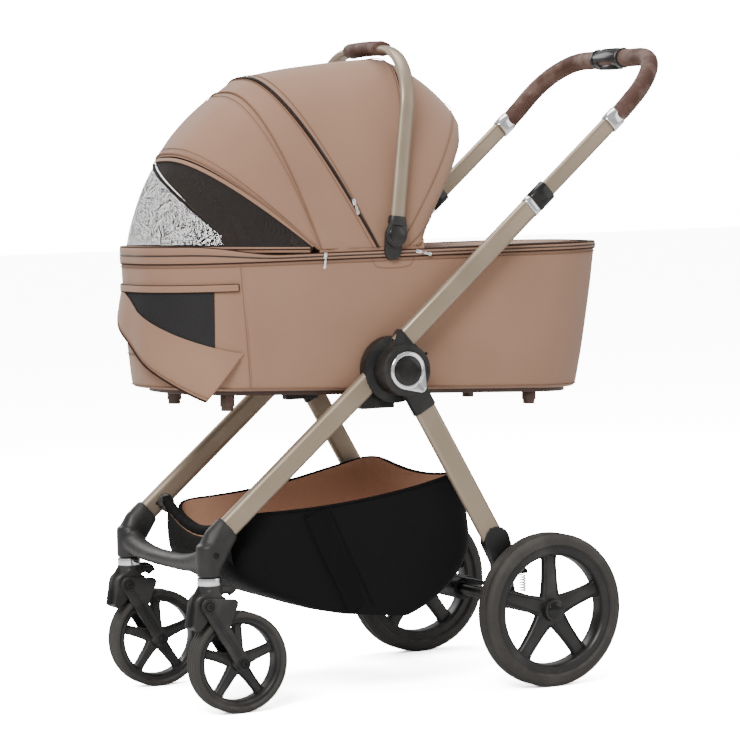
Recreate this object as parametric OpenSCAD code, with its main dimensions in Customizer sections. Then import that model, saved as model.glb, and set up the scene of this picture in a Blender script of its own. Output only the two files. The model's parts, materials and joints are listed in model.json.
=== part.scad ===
// Pet stroller: folding four-wheel frame with swivel front wheels, telescoping
// handle, under-basket and a lift-off fabric carrycot with hood and carry handle.
// +Z is up, the front (small wheels) is at -X, and Y runs along the axles.
// The origin is on the ground, under the centre of the stroller.

/* [Wheels] */
// Diameter of the rear wheels over the tyre
rear_wheel_d = 280; // [270:1:284]
// Width of the rear tyres
rear_tyre_w = 48; // [40:1:50]
// Diameter of the front wheels over the tyre
front_wheel_d = 180; // [176:1:184]
// Width of the front tyres
front_tyre_w = 42; // [36:1:44]
// Number of spokes in each wheel
spoke_count = 5; // [4:1:7]

/* [Frame] */
// Height of the fold axis above the ground
hub_z = 588; // [586:1:592]
// Distance between the middles of the rear tyres
rear_track = 519; // [515:1:525]
// Distance between the front swivel axes
front_track = 364; // [360:1:368]
// Width of the front leg tubes, seen from the side
front_leg_w = 40; // [36:1:42]
// Width of the rear leg tubes, seen from the side
rear_leg_w = 43; // [38:1:44]
// Width of the lower handle tubes, seen from the side
handle_tube_w = 38; // [34:1:40]
// Diameter of the leather grip
grip_d = 33; // [28:1:36]

/* [Carrycot] */
// Height of the carrycot's rim above the ground
rim_z = 790; // [786:1:794]
// Half the width of the carrycot at its rim
rim_half_w = 174; // [172:1:175]
// Thickness of the padded carrycot wall
wall_t = 12; // [8:1:14]
// Diameter of the carrycot's feet
foot_d = 26; // [20:1:30]

/* [Basket] */
// Thickness of the basket's fabric wall
basket_t = 4; // [3:1:6]

/* [Hidden] */

$fn = 48;
FREE = 0.05;
// From the layout's own zero to the middle of the stroller
origin_x = 36.5;

// Fold axis and the three side layers that fold past each other
hub_x = -120;
leg_y = [170, 190];
plate_y = [168, 193];
handle_y = [195, 213];
rear_leg_y = [215.5, 232];
cover_y = [214.5, 238];
pivot_r = 12;
pivot_end_y = 234;

// Front legs: a low point and a rise angle in the side view
front_foot = [-460, 321];
front_rise = 40.3;
front_leg_len = 400;
leg_wall = 1.6;

// Casters
swivel_x = -492;
swivel_y = front_track / 2;
boss_z = [243, 300];
ring_z = [230, 242.5];
stem_r = 7;
stem_top_z = 285;
bolt = [-506, 196];
front_axle = [-443, front_wheel_d / 2];
front_rim_r = 78;
caster_pin_r = 5;
fork_in = front_tyre_w / 2 + 2;
fork_out = fork_in + 7.5;

// Rear frame
rear_axle = [147, rear_wheel_d / 2];
rear_rim_r = 117;
rear_tilt = 28.9;
rear_leg_from = 50;
rear_leg_to = 372;
cross_at = [85, 160];
cross_r = 11;
arm_y = [217, 231];
arm_pin_r = 9;
axle_r = 6;
rear_y = rear_track / 2;
rod_at = [87, 179];

// Handle, in the side view
handle_rise = 40.8;
handle_from = [-103, 645];
handle_mid_y = (handle_y[0] + handle_y[1]) / 2;
tube_in = 22;
lower_len = 355;
upper_in = -150;
upper_sec = [14.4, 32];
tube_wall = 1.4;
ferrule_sec = [24, 37];
ferrule_at = 582;
grip_from = 604;
grip_len = 149;
grip_corner = 105;

// Carrycot
cot_front = -541;
cot_rear = 373;
cot_corner = 150;
apron_front = -90;
apron_z = 796;
flap_t = 4;
hinge = [-109, 828];
arch_lean = 7.7;
arch_h = 338;
arch_half = 182;
arch_corner = 112;
arch_sec = [28, 15];
pad_half = 62;
hood_half = 171;
hood_cloth = 3;
hood_k = 12;

// ---------- helpers ----------
function dir2(a) = [cos(a), sin(a)];
function mix(a, b, t) = a + (b - a) * t;

// Moves the side-view layout so that the origin is under the middle of the stroller
module placed() { translate([origin_x, 0, 0]) children(); }

// Mirror image of parts that are drawn on the +Y side
module left() { mirror([0, 1, 0]) children(); }
module both() {
    children();
    mirror([0, 1, 0]) children();
}

// A round bar along Y at the side-view point p
module rod_y(p, y, r) {
    translate([p[0], y[0], p[1]]) rotate([-90, 0, 0]) cylinder(r = r, h = y[1] - y[0]);
}

// A side-view outline given depth along Y
module plate(y) {
    translate([0, y[1], 0]) rotate([90, 0, 0]) linear_extrude(y[1] - y[0]) children();
}

// Two discs joined by their outer tangents
module link2d(a, ra, b, rb) {
    d = norm(b - a);
    aim = atan2(b[1] - a[1], b[0] - a[0]);
    open = acos((ra - rb) / d);
    polygon([a + ra * dir2(aim + open), b + rb * dir2(aim + open),
        b + rb * dir2(aim - open), a + ra * dir2(aim - open)]);
    translate(a) circle(ra);
    translate(b) circle(rb);
}

// Puts local +X along a line that rises at an angle in the side view
module along(p, rise, y = 0) {
    translate([p[0], y, p[1]]) rotate([0, -rise, 0]) children();
}

module stadium2d(t, w) {
    square([t, w - t], center = true);
    for (s = [-1, 1]) translate([0, s * (w - t) / 2]) circle(t / 2);
}

// A flat-sided tube along local +X: w is its width up, t its thickness along Y
module flat_bar(len, t, w) {
    rotate([90, 0, 90]) linear_extrude(len) stadium2d(t, w);
}

module flat_tube(len, t, w, wall) {
    difference() {
        flat_bar(len, t, w);
        translate([-1, 0, 0]) flat_bar(len + 2, t - 2 * wall, w - 2 * wall);
    }
}

// Closed skin over a row of closed rings that have the same number of points and
// turn anticlockwise when seen from the end of the row
module skin(rings) {
    n = len(rings[0]);
    m = len(rings);
    pts = [for (r = rings) each r];
    sides = [for (i = [0:m - 2], j = [0:n - 1])
        each [[i * n + j, (i + 1) * n + j, i * n + (j + 1) % n],
            [i * n + (j + 1) % n, (i + 1) * n + j, (i + 1) * n + (j + 1) % n]]];
    polyhedron(pts, concat(sides,
        [[for (j = [0:n - 1]) j]],
        [[for (j = [n - 1:-1:0]) (m - 1) * n + j]]), convexity = 8);
}

// The same, with the last ring joined back to the first
module skin_loop(rings) {
    n = len(rings[0]);
    m = len(rings);
    pts = [for (r = rings) each r];
    polyhedron(pts, [for (i = [0:m - 1], j = [0:n - 1])
        each [[i * n + j, ((i + 1) % m) * n + j, i * n + (j + 1) % n],
            [i * n + (j + 1) % n, ((i + 1) % m) * n + j,
                ((i + 1) % m) * n + (j + 1) % n]]], convexity = 8);
}

// Cloth of real thickness between two like grids of points: its outside and its inside
module cloth(outside, inside) {
    n = len(outside[0]);
    m = len(outside);
    w = 2 * n;
    last = (m - 1) * w;
    pts = [for (i = [0:m - 1]) each concat(outside[i], inside[i])];
    quads = concat(
        [for (i = [0:m - 2], j = [0:n - 2]) let (a = i * w + j) [a + w, a + w + 1, a + 1, a]],
        [for (i = [0:m - 2], j = [0:n - 2]) let (a = i * w + n + j)
            [a, a + 1, a + w + 1, a + w]],
        [for (i = [0:m - 2]) let (a = i * w) [a + n, a + w + n, a + w, a]],
        [for (i = [0:m - 2]) let (a = i * w + n - 1) [a, a + w, a + w + n, a + n]],
        [for (j = [0:n - 2]) [j + 1, j + n + 1, j + n, j]],
        [for (j = [0:n - 2]) let (a = last + j) [a + n, a + n + 1, a + 1, a]]);
    polyhedron(pts, [for (q = quads) each [[q[0], q[1], q[2]], [q[0], q[2], q[3]]]],
        convexity = 8);
}

// Plan outline from x0 to x1, half width w, corner radius r, with k points a corner
function plan(x0, x1, w, r, k = 8) = [
    for (c = [[x1 - r, w - r, 0], [x0 + r, w - r, 90], [x0 + r, r - w, 180],
            [x1 - r, r - w, 270]], i = [0:k])
        [c[0] + r * cos(c[2] + 90 * i / k), c[1] + r * sin(c[2] + 90 * i / k)]];

// Ring of an oval section, centre c, with unit vectors u and v and half sizes a and b
function oval_ring(c, u, v, a, b, n = 16) =
    [for (i = [0:n - 1]) c + a * cos(360 * i / n) * u + b * sin(360 * i / n) * v];

// ---------- front legs and yoke ----------
module front_leg() {
    mid = (leg_y[0] + leg_y[1]) / 2;
    color([0.69, 0.64, 0.58]) along(front_foot, front_rise, mid)
        flat_tube(front_leg_len, leg_y[1] - leg_y[0], front_leg_w, leg_wall);
}

module leg_room() {
    mid = (leg_y[0] + leg_y[1]) / 2;
    along(front_foot, front_rise, mid)
        flat_bar(front_leg_len, leg_y[1] - leg_y[0], front_leg_w);
}

// Rings of the curved beam between the two caster bosses
function beam_rings() = [for (i = [-8:8])
    let (t = i / 8, y = 176 * t, k = pow(abs(t), 3))
    oval_ring([swivel_x + 2, y, 258 + 18 * k], [0, 0, 1], [1, 0, 0],
        mix(15, 24, k), mix(19, 21, k))];

module yoke_side() {
    hull() {
        translate([swivel_x, swivel_y, boss_z[0] + 14]) cylinder(r = 22, h = 34, $fn = 32);
        along(front_foot, front_rise, 180) translate([-24, 0, 0]) flat_bar(32, 28, 50);
    }
    translate([swivel_x, swivel_y, boss_z[0]]) cylinder(r = 22, h = boss_z[1] - boss_z[0]);
    along(front_foot, front_rise, 180) flat_bar(12, 27, 47);
}

module front_crossbar() {
    color([0.2, 0.19, 0.18]) difference() {
        union() {
            both() yoke_side();
            skin(beam_rings());
        }
        both() leg_room();
        both() translate([swivel_x, swivel_y, boss_z[0] - 1])
            cylinder(r = stem_r + FREE, h = stem_top_z - boss_z[0] + 2);
    }
}

// ---------- fold hub ----------
module hub_plates() {
    color([0.16, 0.15, 0.15]) both() {
        difference() {
            rod_y([hub_x, hub_z], plate_y, 60);
            leg_room();
        }
        rod_y([hub_x, hub_z], [plate_y[0], pivot_end_y], pivot_r);
    }
}

module seat_adapters() {
    color([0.13, 0.12, 0.12]) both() {
        translate([-177, 146, 518]) cube([66, 22, 26]);
        translate([-168, 160.5, 543]) cube([48, 7.5, 48]);
    }
}

// ---------- under-basket ----------
basket_x = [-412, -10];
basket_dip = 36;
function basket_half(x) = mix(158, 196, max(0, min(1, (x - basket_x[0]) / 330)));
// One level of the bag; its front and rear edges may dip in the middle, as they hang
function basket_ring(x0, x1, zf, zr, inset, dip = 0) =
    [for (p = plan(x0 + inset, x1 - inset, 1, 0.4, 6))
        let (t = (p[0] - x0) / (x1 - x0))
        [p[0], p[1] * (basket_half(p[0]) - inset),
            mix(zf, zr, t) - dip * (1 - p[1] * p[1])
                * (max(0, 1 - 12 * t) + 0.6 * max(0, 12 * t - 11))]];
// Stations of the sagging bag: front x, rear x, front z, rear z
basket_steps = [[-240, -110, 170, 156], [-300, -60, 186, 180], [-400, 0, 228, 222],
[-434, 40, 250, 260], [-414, 36, 290, 328], [-413, 30, 343, 401]];
basket_top = len(basket_steps) - 1;
function basket_outer() = [for (i = [0:basket_top])
    let (s = basket_steps[i])
    basket_ring(s[0], s[1], s[2], s[3], 0, i == basket_top ? basket_dip : 0)];
function basket_inner() = [for (i = [basket_top:-1:0])
    let (s = basket_steps[i], up = i == basket_top ? 0 : basket_t)
    basket_ring(s[0], s[1], s[2] + up, s[3] + up, basket_t,
        i == basket_top ? basket_dip : 0)];

module basket() {
    color([0.1, 0.1, 0.1]) skin(concat(basket_outer(), basket_inner()));
}

// Padded bar that carries the front edge of the basket between the legs
module basket_rail() {
    color([0.09, 0.09, 0.09]) skin([for (i = [-8:8])
        let (t = i / 8)
        oval_ring([-424, 157 * t, 306 + 42 * t * t], [0, 0, 1], [1, 0, 0], 7, 7, 12)]);
}

// ---------- casters, drawn for the +Y side ----------
module swivel_stem() {
    color([0.85, 0.85, 0.86]) {
        translate([swivel_x, swivel_y, ring_z[0]]) cylinder(r = 21, h = ring_z[1] - ring_z[0]);
        translate([swivel_x, swivel_y, ring_z[0]])
            cylinder(r = stem_r, h = stem_top_z - ring_z[0]);
    }
}

module caster_housing() {
    color([0.19, 0.18, 0.17]) difference() {
        union() {
            translate([swivel_x, swivel_y, 200]) cylinder(r = 22, h = ring_z[0] - 200);
            plate([swivel_y - fork_in + 1, swivel_y + fork_in - 1]) {
                link2d(bolt, 20, [-494, 205], 18);
                link2d(bolt, 20, [-524, 160], 8);
            }
            translate([-472, swivel_y - 9, 215]) cube([22, 18, 11]);
        }
        rod_y(front_axle, [swivel_y - 40, swivel_y + 40], front_wheel_d / 2 + 5);
        rod_y(bolt, [swivel_y - 40, swivel_y + 40], caster_pin_r + FREE);
        for (s = [-1, 1])
            translate([0, swivel_y + s * (fork_in + 9.2), 0])
                rod_y(bolt, [-10, 10], 30);
    }
}

module fork_outline() {
    corner = [-458, 197];
    waist = [-482, 156];
    link2d(bolt, 14, front_axle, 13);
    link2d(bolt, 14, corner, 8);
    link2d(corner, 8, waist, 13);
    polygon([bolt, corner, waist]);
}

module caster_fork() {
    color([0.21, 0.2, 0.19]) {
        for (s = [-1, 1])
            plate([swivel_y + (s < 0 ? -fork_out : fork_in),
                swivel_y + (s < 0 ? -fork_in : fork_out)]) fork_outline();
        translate([-466, swivel_y - fork_in, 184]) cube([13, 2 * fork_in, 15]);
        rod_y(bolt, [swivel_y - fork_in, swivel_y + fork_in], caster_pin_r);
        rod_y(front_axle, [swivel_y - fork_in, swivel_y + fork_in], caster_pin_r);
    }
}

// ---------- wheels, drawn around the Y axis at the origin ----------
module tyre(r, inner_r, w) {
    corner = min(w * 0.26, (r - inner_r) / 2);
    rotate([90, 0, 0]) rotate_extrude($fn = 72) {
        translate([inner_r, -w / 2]) square([r - inner_r - corner, w]);
        translate([inner_r, -w / 2 + corner]) square([r - inner_r, w - 2 * corner]);
        for (s = [-1, 1]) translate([r - corner, s * (w / 2 - corner)]) circle(corner);
    }
}

module rim(outer_r, ring_t, w, hub_r, hub_w, bore_r, spoke_w) {
    difference() {
        rotate([90, 0, 0]) {
            rotate_extrude($fn = 72) translate([outer_r - ring_t, -w / 2]) square([ring_t, w]);
            cylinder(r = hub_r, h = hub_w, center = true);
            linear_extrude(w * 0.55, center = true)
                for (i = [0:spoke_count - 1])
                    rotate(90 + 360 * i / spoke_count)
                        polygon([[hub_r * 0.5, -spoke_w * 0.75], [outer_r - 5, -spoke_w / 2],
                            [outer_r - 5, spoke_w / 2], [hub_r * 0.5, spoke_w * 0.75]]);
        }
        rotate([90, 0, 0]) cylinder(r = bore_r, h = hub_w + 10, center = true);
    }
}

module front_rim() {
    color([0.13, 0.13, 0.13]) translate([front_axle[0], swivel_y, front_axle[1]])
        rim(front_rim_r, 10, front_tyre_w * 0.8, 16, 2 * fork_in - 1, caster_pin_r + FREE, 12);
}

module front_tyre() {
    color([0.24, 0.23, 0.21]) translate([front_axle[0], swivel_y, front_axle[1]])
        tyre(front_wheel_d / 2, front_rim_r, front_tyre_w);
}

module rear_rim() {
    color([0.13, 0.13, 0.13]) translate([rear_axle[0], rear_y, rear_axle[1]])
        rim(rear_rim_r, 17, rear_tyre_w * 0.8, 20, rear_tyre_w - 2, axle_r + FREE, 16);
}

module rear_tyre() {
    color([0.24, 0.23, 0.21]) translate([rear_axle[0], rear_y, rear_axle[1]])
        tyre(rear_wheel_d / 2, rear_rim_r, rear_tyre_w);
}

// ---------- rear frame ----------
module on_rear_leg() {
    along([hub_x, hub_z], rear_tilt - 90, (rear_leg_y[0] + rear_leg_y[1]) / 2) children();
}

module rear_leg() {
    color([0.69, 0.64, 0.58]) on_rear_leg() translate([rear_leg_from, 0, 0])
        flat_tube(rear_leg_to - rear_leg_from, rear_leg_y[1] - rear_leg_y[0],
            rear_leg_w, leg_wall);
}

module rear_leg_room() {
    on_rear_leg() translate([rear_leg_from, 0, 0])
        flat_bar(rear_leg_to - rear_leg_from, rear_leg_y[1] - rear_leg_y[0], rear_leg_w);
}

module hub_covers() {
    color([0.1, 0.1, 0.1]) both() difference() {
        union() {
            rod_y([hub_x, hub_z], cover_y, 46);
            on_rear_leg() flat_bar(82, 19, rear_leg_w + 5);
        }
        rear_leg_room();
        rod_y([hub_x, hub_z], [cover_y[0] - 1, pivot_end_y + 1], pivot_r + FREE);
    }
}

// Chrome ring with a drop-shaped tail around the plain disc
module hub_trims() {
    color([0.86, 0.86, 0.87]) both() difference() {
        plate([cover_y[1], cover_y[1] + 3])
            link2d([hub_x, hub_z], 34, [hub_x + 26, hub_z - 30], 10);
        rod_y([hub_x, hub_z], [cover_y[1] - 1, cover_y[1] + 4], 27);
    }
}

module hub_discs() {
    color([0.05, 0.05, 0.05]) both() rod_y([hub_x, hub_z], [cover_y[1], cover_y[1] + 4], 26.5);
}

module rear_sockets() {
    color([0.12, 0.12, 0.12]) both() {
        difference() {
            union() {
                plate([213.5, 234]) link2d([57, 270], 26, [72, 232], 22);
                plate([204, 217]) link2d([73, 229], 19, cross_at, 18);
                plate([218, 230]) link2d([76, 231], 15, [110, 212], 7);
                translate([101, 219, 205]) cube([20, 10, 9]);
            }
            rear_leg_room();
        }
        rod_y(cross_at, [216, 233], arm_pin_r);
    }
}

module rear_crossbar() {
    color([0.12, 0.12, 0.12]) rod_y(cross_at, [-204, 204], cross_r);
}

module brake_rod() {
    color([0.6, 0.6, 0.6]) rod_y(rod_at, [-204, 204], 4);
}

module brake_housing() {
    color([0.11, 0.11, 0.11]) difference() {
        plate([-46, 46]) link2d(cross_at, 20, [96, 163], 20);
        rod_y(cross_at, [-50, 50], cross_r);
        rod_y(rod_at, [-50, 50], 4);
        plate([-32, 32]) translate([103, 140]) square([40, 50]);
    }
    color([0.11, 0.11, 0.11]) rod_y([112, 160], [-33, 33], 3);
}

module brake_pedal() {
    color([0.35, 0.07, 0.06]) difference() {
        union() {
            rod_y([112, 160], [-31, 31], 7);
            translate([114, -31, 153]) rotate([0, 10, 0]) cube([42, 62, 7]);
        }
        rod_y([112, 160], [-40, 40], 3 + FREE);
    }
}

module rear_arm() {
    color([0.15, 0.15, 0.15]) {
        difference() {
            plate(arm_y) link2d(cross_at, 17, rear_axle, 15);
            rod_y(cross_at, [arm_y[0] - 2, arm_y[1] + 2], arm_pin_r + FREE);
        }
        rod_y(rear_axle, [arm_y[0] + 4, 284], axle_r);
        rod_y(rear_axle, [arm_y[0] + 4, 235.5], 14);
    }
}

module rear_spring() {
    color([0.7, 0.7, 0.7]) translate([112, 224, 171]) cylinder(r = 6.5, h = 33.5);
}

// ---------- handle ----------
module on_handle() {
    along(handle_from, handle_rise, handle_mid_y) children();
}

module handle_tube_room() {
    on_handle() translate([-tube_in, 0, 0])
        flat_bar(lower_len, handle_y[1] - handle_y[0], handle_tube_w);
}

module handle_hubs() {
    color([0.12, 0.12, 0.12]) both() difference() {
        union() {
            rod_y([hub_x, hub_z], [194, 213.6], 45);
            plate([194, 213.6]) link2d([hub_x, hub_z + 12], 32, [-104, 644], 21);
        }
        on_handle() translate([0, -20, -40]) cube([60, 40, 80]);
        handle_tube_room();
        rod_y([hub_x, hub_z], [190, 216], pivot_r + FREE);
    }
}

module handle_tubes() {
    color([0.69, 0.64, 0.58]) both() on_handle() translate([-tube_in, 0, 0])
        flat_tube(lower_len + tube_in, handle_y[1] - handle_y[0], handle_tube_w, tube_wall);
}

module handle_collars() {
    color([0.07, 0.07, 0.07]) both() on_handle() difference() {
        translate([lower_len, 0, 0]) flat_bar(38, 22, handle_tube_w + 3);
        translate([lower_len - 1, 0, 0]) flat_bar(40, upper_sec[0] + 2 * FREE, upper_sec[1] + 2 * FREE);
    }
}

module collar_rings() {
    color([0.86, 0.86, 0.87]) both() on_handle() difference() {
        translate([lower_len - 14, 0, 0]) flat_bar(12, 20.5, handle_tube_w + 2.5);
        translate([lower_len - 15, 0, 0]) flat_bar(14, handle_y[1] - handle_y[0], handle_tube_w);
    }
}

module upper_tubes() {
    color([0.69, 0.64, 0.58]) both() on_handle() translate([lower_len + upper_in, 0, 0])
        flat_tube(grip_from - lower_len - upper_in, upper_sec[0], upper_sec[1], tube_wall);
}

module grip_ferrules() {
    color([0.86, 0.86, 0.87]) both() on_handle() difference() {
        translate([ferrule_at - 14, 0, 0]) flat_bar(28, ferrule_sec[0], ferrule_sec[1]);
        translate([ferrule_at - 15, 0, 0]) flat_bar(30, upper_sec[0], upper_sec[1]);
    }
}

// Centre line of the grip: up one side, across, and down the other, in the handle's plane
function grip_path(k = 9) =
    let (a = handle_mid_y, c = grip_corner,
        half = concat([[grip_from - 14, a], [grip_from + (grip_len - c) / 2, a]],
            [for (i = [0:k]) [grip_from + grip_len - c + c * sin(90 * i / k),
                a - c + c * cos(90 * i / k)]]))
    concat(half, [for (i = [len(half) - 1:-1:0]) [half[i][0], -half[i][1]]]);
function on_line(s, y) =
    [handle_from[0] + s * cos(handle_rise), y, handle_from[1] + s * sin(handle_rise)];
function grip_ring(path, i) =
    let (n = len(path) - 1, a = path[max(0, i - 1)], b = path[min(n, i + 1)],
        d = (b - a) / norm(b - a), lift = 10 * pow(sin(90 * (path[i][0] - grip_from + 14)
            / (grip_len + 14)), 2),
        out = [-sin(handle_rise), 0, cos(handle_rise)],
        across = [-d[1] * cos(handle_rise), d[0], -d[1] * sin(handle_rise)])
    oval_ring(on_line(path[i][0], path[i][1]) + lift * out, across, out,
        grip_d / 2, grip_d / 2);

module grip() {
    path = grip_path();
    color([0.42, 0.29, 0.24]) difference() {
        skin([for (i = [0:len(path) - 1]) grip_ring(path, i)]);
        grip_housing_solid();
        both() on_handle() translate([ferrule_at - 15, 0, 0])
            flat_bar(grip_from - ferrule_at + 15, upper_sec[0], upper_sec[1]);
        both() on_handle() translate([ferrule_at - 14, 0, 0])
            flat_bar(28, ferrule_sec[0], ferrule_sec[1]);
    }
}

function grip_mid() = on_line(grip_from + grip_len, 0)
    + 10 * [-sin(handle_rise), 0, cos(handle_rise)];

module grip_housing_solid() {
    m = grip_mid();
    rod_y([m[0], m[2]], [-46, 46], grip_d / 2 + 2);
}

module grip_housing() {
    m = grip_mid();
    color([0.12, 0.12, 0.12]) difference() {
        grip_housing_solid();
        translate([m[0] - 30, -26, m[2] - 32]) cube([60, 52, 27]);
    }
}

module grip_trigger() {
    m = grip_mid();
    color([0.08, 0.08, 0.08]) translate([m[0] - 11, -25, m[2] - 21]) cube([22, 50, 10]);
}

// ---------- carrycot ----------
// Floor height falls a little towards the rear
function floor_z(x) = 551 - 0.045 * (x + 42);
function cot_x0(t) = mix(cot_front + 12, cot_front, t);
function cot_x1(t) = mix(cot_rear - 36, cot_rear, t);
function cot_half(t) = mix(153, rim_half_w, t);
function cot_ring(t, inset, lift = 0) =
    [for (p = plan(cot_x0(t) + inset, cot_x1(t) - inset, cot_half(t) - inset,
            cot_corner - inset))
        [p[0], p[1], mix(floor_z(p[0]) + lift, rim_z, t)]];

module cot_tub() {
    color([0.6, 0.49, 0.43]) skin(concat(
        [cot_ring(0, 12), cot_ring(0.02, 4), cot_ring(0.06, 0)],
        [for (t = [0.35, 0.7, 1]) cot_ring(t, 0)],
        [for (t = [1, 0.5, 0.1]) cot_ring(t, wall_t, 0)],
        [cot_ring(0.05, wall_t + 8, 8)]));
}

// Zipped rim band, higher at the front
function rim_top(x) = 801 + 19 * pow(max(0, min(1, (-330 - x) / 170)), 2) * (3 - 2
    * max(0, min(1, (-330 - x) / 170)));
module cot_rim() {
    out = plan(cot_front - 2, cot_rear + 2, rim_half_w + 2, cot_corner + 2);
    inn = plan(cot_front + wall_t, cot_rear - wall_t, rim_half_w - wall_t,
        cot_corner - wall_t);
    color([0.6, 0.49, 0.43]) skin_loop([
        [for (p = out) [p[0], p[1], rim_z + 0.2]],
        [for (p = out) [p[0], p[1], rim_top(p[0])]],
        [for (p = inn) [p[0], p[1], rim_top(p[0])]],
        [for (p = inn) [p[0], p[1], rim_z + 0.2]]]);
}

module cot_base() {
    color([0.3, 0.2, 0.16]) skin([for (h = [-13, -1]) [for (p = plan(-500, 310, 138, 120))
        [p[0], p[1], floor_z(p[0]) + h]]]);
}

// Feet that stand square to the carrycot's slightly sloping rest plane
feet_at = [[-419, 527], [194, 505]];
rest_tilt = atan((feet_at[0][1] - feet_at[1][1]) / (feet_at[1][0] - feet_at[0][0]));
module cot_feet() {
    color([0.34, 0.22, 0.17]) both() for (p = feet_at)
        translate([p[0], 118, p[1]]) rotate([0, rest_tilt, 0]) {
            cylinder(r = foot_d / 2 - 2, h = floor_z(p[0]) - 13.4 - p[1]);
            translate([0, 0, 8]) cylinder(r = foot_d / 2, h = floor_z(p[0]) - 21.4 - p[1]);
        }
}

module cot_mattress() {
    color([0.62, 0.52, 0.46]) skin([for (h = [24, 54]) [for (p = plan(-505, 300, 126, 110))
        [p[0], p[1], floor_z(p[0]) + h]]]);
}

// Point on the carrycot's front wall, that far round from its middle and out from its rim
function front_wall(round, out) = let (flat = rim_half_w - cot_corner, a = abs(round),
        r = cot_corner + out, turn = (a - flat) / r * 180 / PI)
    a < flat ? [cot_front - out, round]
    : [cot_front + cot_corner - r * cos(turn), sign(round) * (flat + r * sin(turn))];

// Flap let down from the front window: it hangs from a line that falls towards the left
// side, and t runs from that line to its free edge
function flap_row(t, in_by) = [for (i = [0:16])
    let (k = i / 16, out = mix(6, 11, t) - in_by,
        hung = min(746, 628 + 118 * pow(k * 1.26, 1.3)), free = 550 + 180 * pow(k, 1.08),
        p = front_wall(mix(mix(-250, -205, t), 140, k), out))
    [p[0], p[1], mix(hung, free, t)]];
module cot_flap() {
    rows = [0, 0.25, 0.5, 0.75, 1];
    color([0.58, 0.47, 0.41]) cloth([for (t = rows) flap_row(t, 0)],
        [for (t = rows) flap_row(t, flap_t)]);
}

// Zip-on apron over the rear half
module cot_apron() {
    corner = cot_corner - wall_t - 1;
    edge = [for (p = plan(cot_front, cot_rear - wall_t - 2, rim_half_w - wall_t - 1, corner))
        [max(apron_front, p[0]), p[1]]];
    // Front corner points that fall on one another are left out
    outline = [for (i = [0:len(edge) - 1])
        let (b = edge[(i + 1) % len(edge)]) if (norm(b - edge[i]) > 0.5) edge[i]];
    color([0.58, 0.47, 0.41]) skin([for (h = [0, 6])
        [for (p = outline) [p[0], p[1], apron_z + h]]]);
}

// ---------- carry handle and hood ----------
module hinge_bases() {
    color([0.1, 0.1, 0.1]) both() {
        plate([rim_half_w + 2.2, 181.5]) link2d(hinge, 18, [hinge[0] - 4, 799], 16);
        rod_y(hinge, [rim_half_w + 2.2, 189], 6);
    }
}

// Points along one side of the arch's centre line: y and height above the hinge axis
function arch_path(k = 8) = concat([[arch_half + 3, 20], [arch_half + 2, 80],
    [arch_half, 150], [arch_half - 1, arch_h - arch_corner - 20]],
    [for (i = [0:k]) [arch_half - arch_corner + arch_corner * cos(90 * i / k) - 1,
        arch_h - arch_corner + arch_corner * sin(90 * i / k)]],
    [[pad_half, arch_h]]);
function arch_point(y, h, lean) =
    [hinge[0] + h * sin(lean), y, hinge[1] + h * cos(lean)];
function arch_ring(path, i, sec) =
    let (n = len(path) - 1, a = path[max(0, i - 1)], b = path[min(n, i + 1)],
        d = (b - a) / norm(b - a),
        fore = [cos(arch_lean), 0, -sin(arch_lean)],
        side = [-d[0] * sin(arch_lean), d[1], -d[0] * cos(arch_lean)])
    oval_ring(arch_point(path[i][0], path[i][1], arch_lean), fore, side,
        sec[0] / 2, sec[1] / 2, 12);

module carry_arch() {
    path = arch_path();
    arch_foot = arch_point(0, 34, arch_lean);
    color([0.69, 0.64, 0.58]) both() difference() {
        union() {
            skin([for (i = [0:len(path) - 1]) arch_ring(path, i, arch_sec)]);
            plate([182, 190]) link2d(hinge, 17, [arch_foot[0], arch_foot[2]], 12);
        }
        rod_y(hinge, [180, 191], 6 + FREE);
    }
}

module arch_pad() {
    color([0.42, 0.29, 0.24]) skin([for (y = [-pad_half, pad_half])
        oval_ring(arch_point(y, arch_h + 5, arch_lean), [sin(arch_lean), 0, cos(arch_lean)],
            [cos(arch_lean), 0, -sin(arch_lean)], 14, 19, 20)]);
}

module hinge_buttons() {
    color([0.07, 0.07, 0.07]) both() rod_y(hinge, [190, 193.5], 14);
}

// Reach of the hood behind the hinge: a dome above, a straight slope below
function rear_reach(a) = let (dome = 335 + 0.9 * a,
        slope = 89.4 / max(0.05, -sin(a) - 0.629 * cos(a)))
    pow(pow(dome, -8) + pow(slope, -8), -1 / 8);

// Cross-section stations of the hood, rear to front: foot x, foot z, crown x, crown z
function hood_station(u) =
    u < 0 ? let (a = -9 + 84 * u, r = rear_reach(a))
            [mix(hinge[0], -60, -u), 808, hinge[0] - r * sin(a), hinge[1] + r * cos(a)]
    : u < 1 ? [mix(hinge[0], -137, u), 808,
            mix(hinge[0] + 50, -321, u), 1117 + 33 * (1 - u * u)]
    : u < 2 ? [mix(-137, -250, u - 1), 808, mix(-321, -357, u - 1), mix(1117, 1092, u - 1)]
    : u < 3 ? let (a = mix(20.5, 52, u - 2), r = mix(303, 279, u - 2))
            [-250 - 6 * (u - 2), 808, -250 - r * sin(a), 808 + r * cos(a)]
    : let (a = mix(52, 86.6, u - 3), r = mix(279, 286, u - 3))
            [-256 - 6 * (u - 3), 808, -250 - r * sin(a), 808 + r * cos(a)];

// Arched section: flat-topped like the carry handle, from one foot to the other
function hood_arc(u, inset) = let (s = hood_station(u), n = 2.6)
    [for (i = [-hood_k:hood_k])
        let (a = 90 * i / hood_k,
            y = (hood_half - inset) * sign(sin(a)) * pow(abs(sin(a)), 2 / n),
            h = pow(cos(a), 2 / n),
            r = 1 - inset / max(40, norm([s[2] - s[0], s[3] - s[1]])))
        [mix(s[0], s[2], h * r), y, mix(s[1], s[3], h * r)]];

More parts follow.
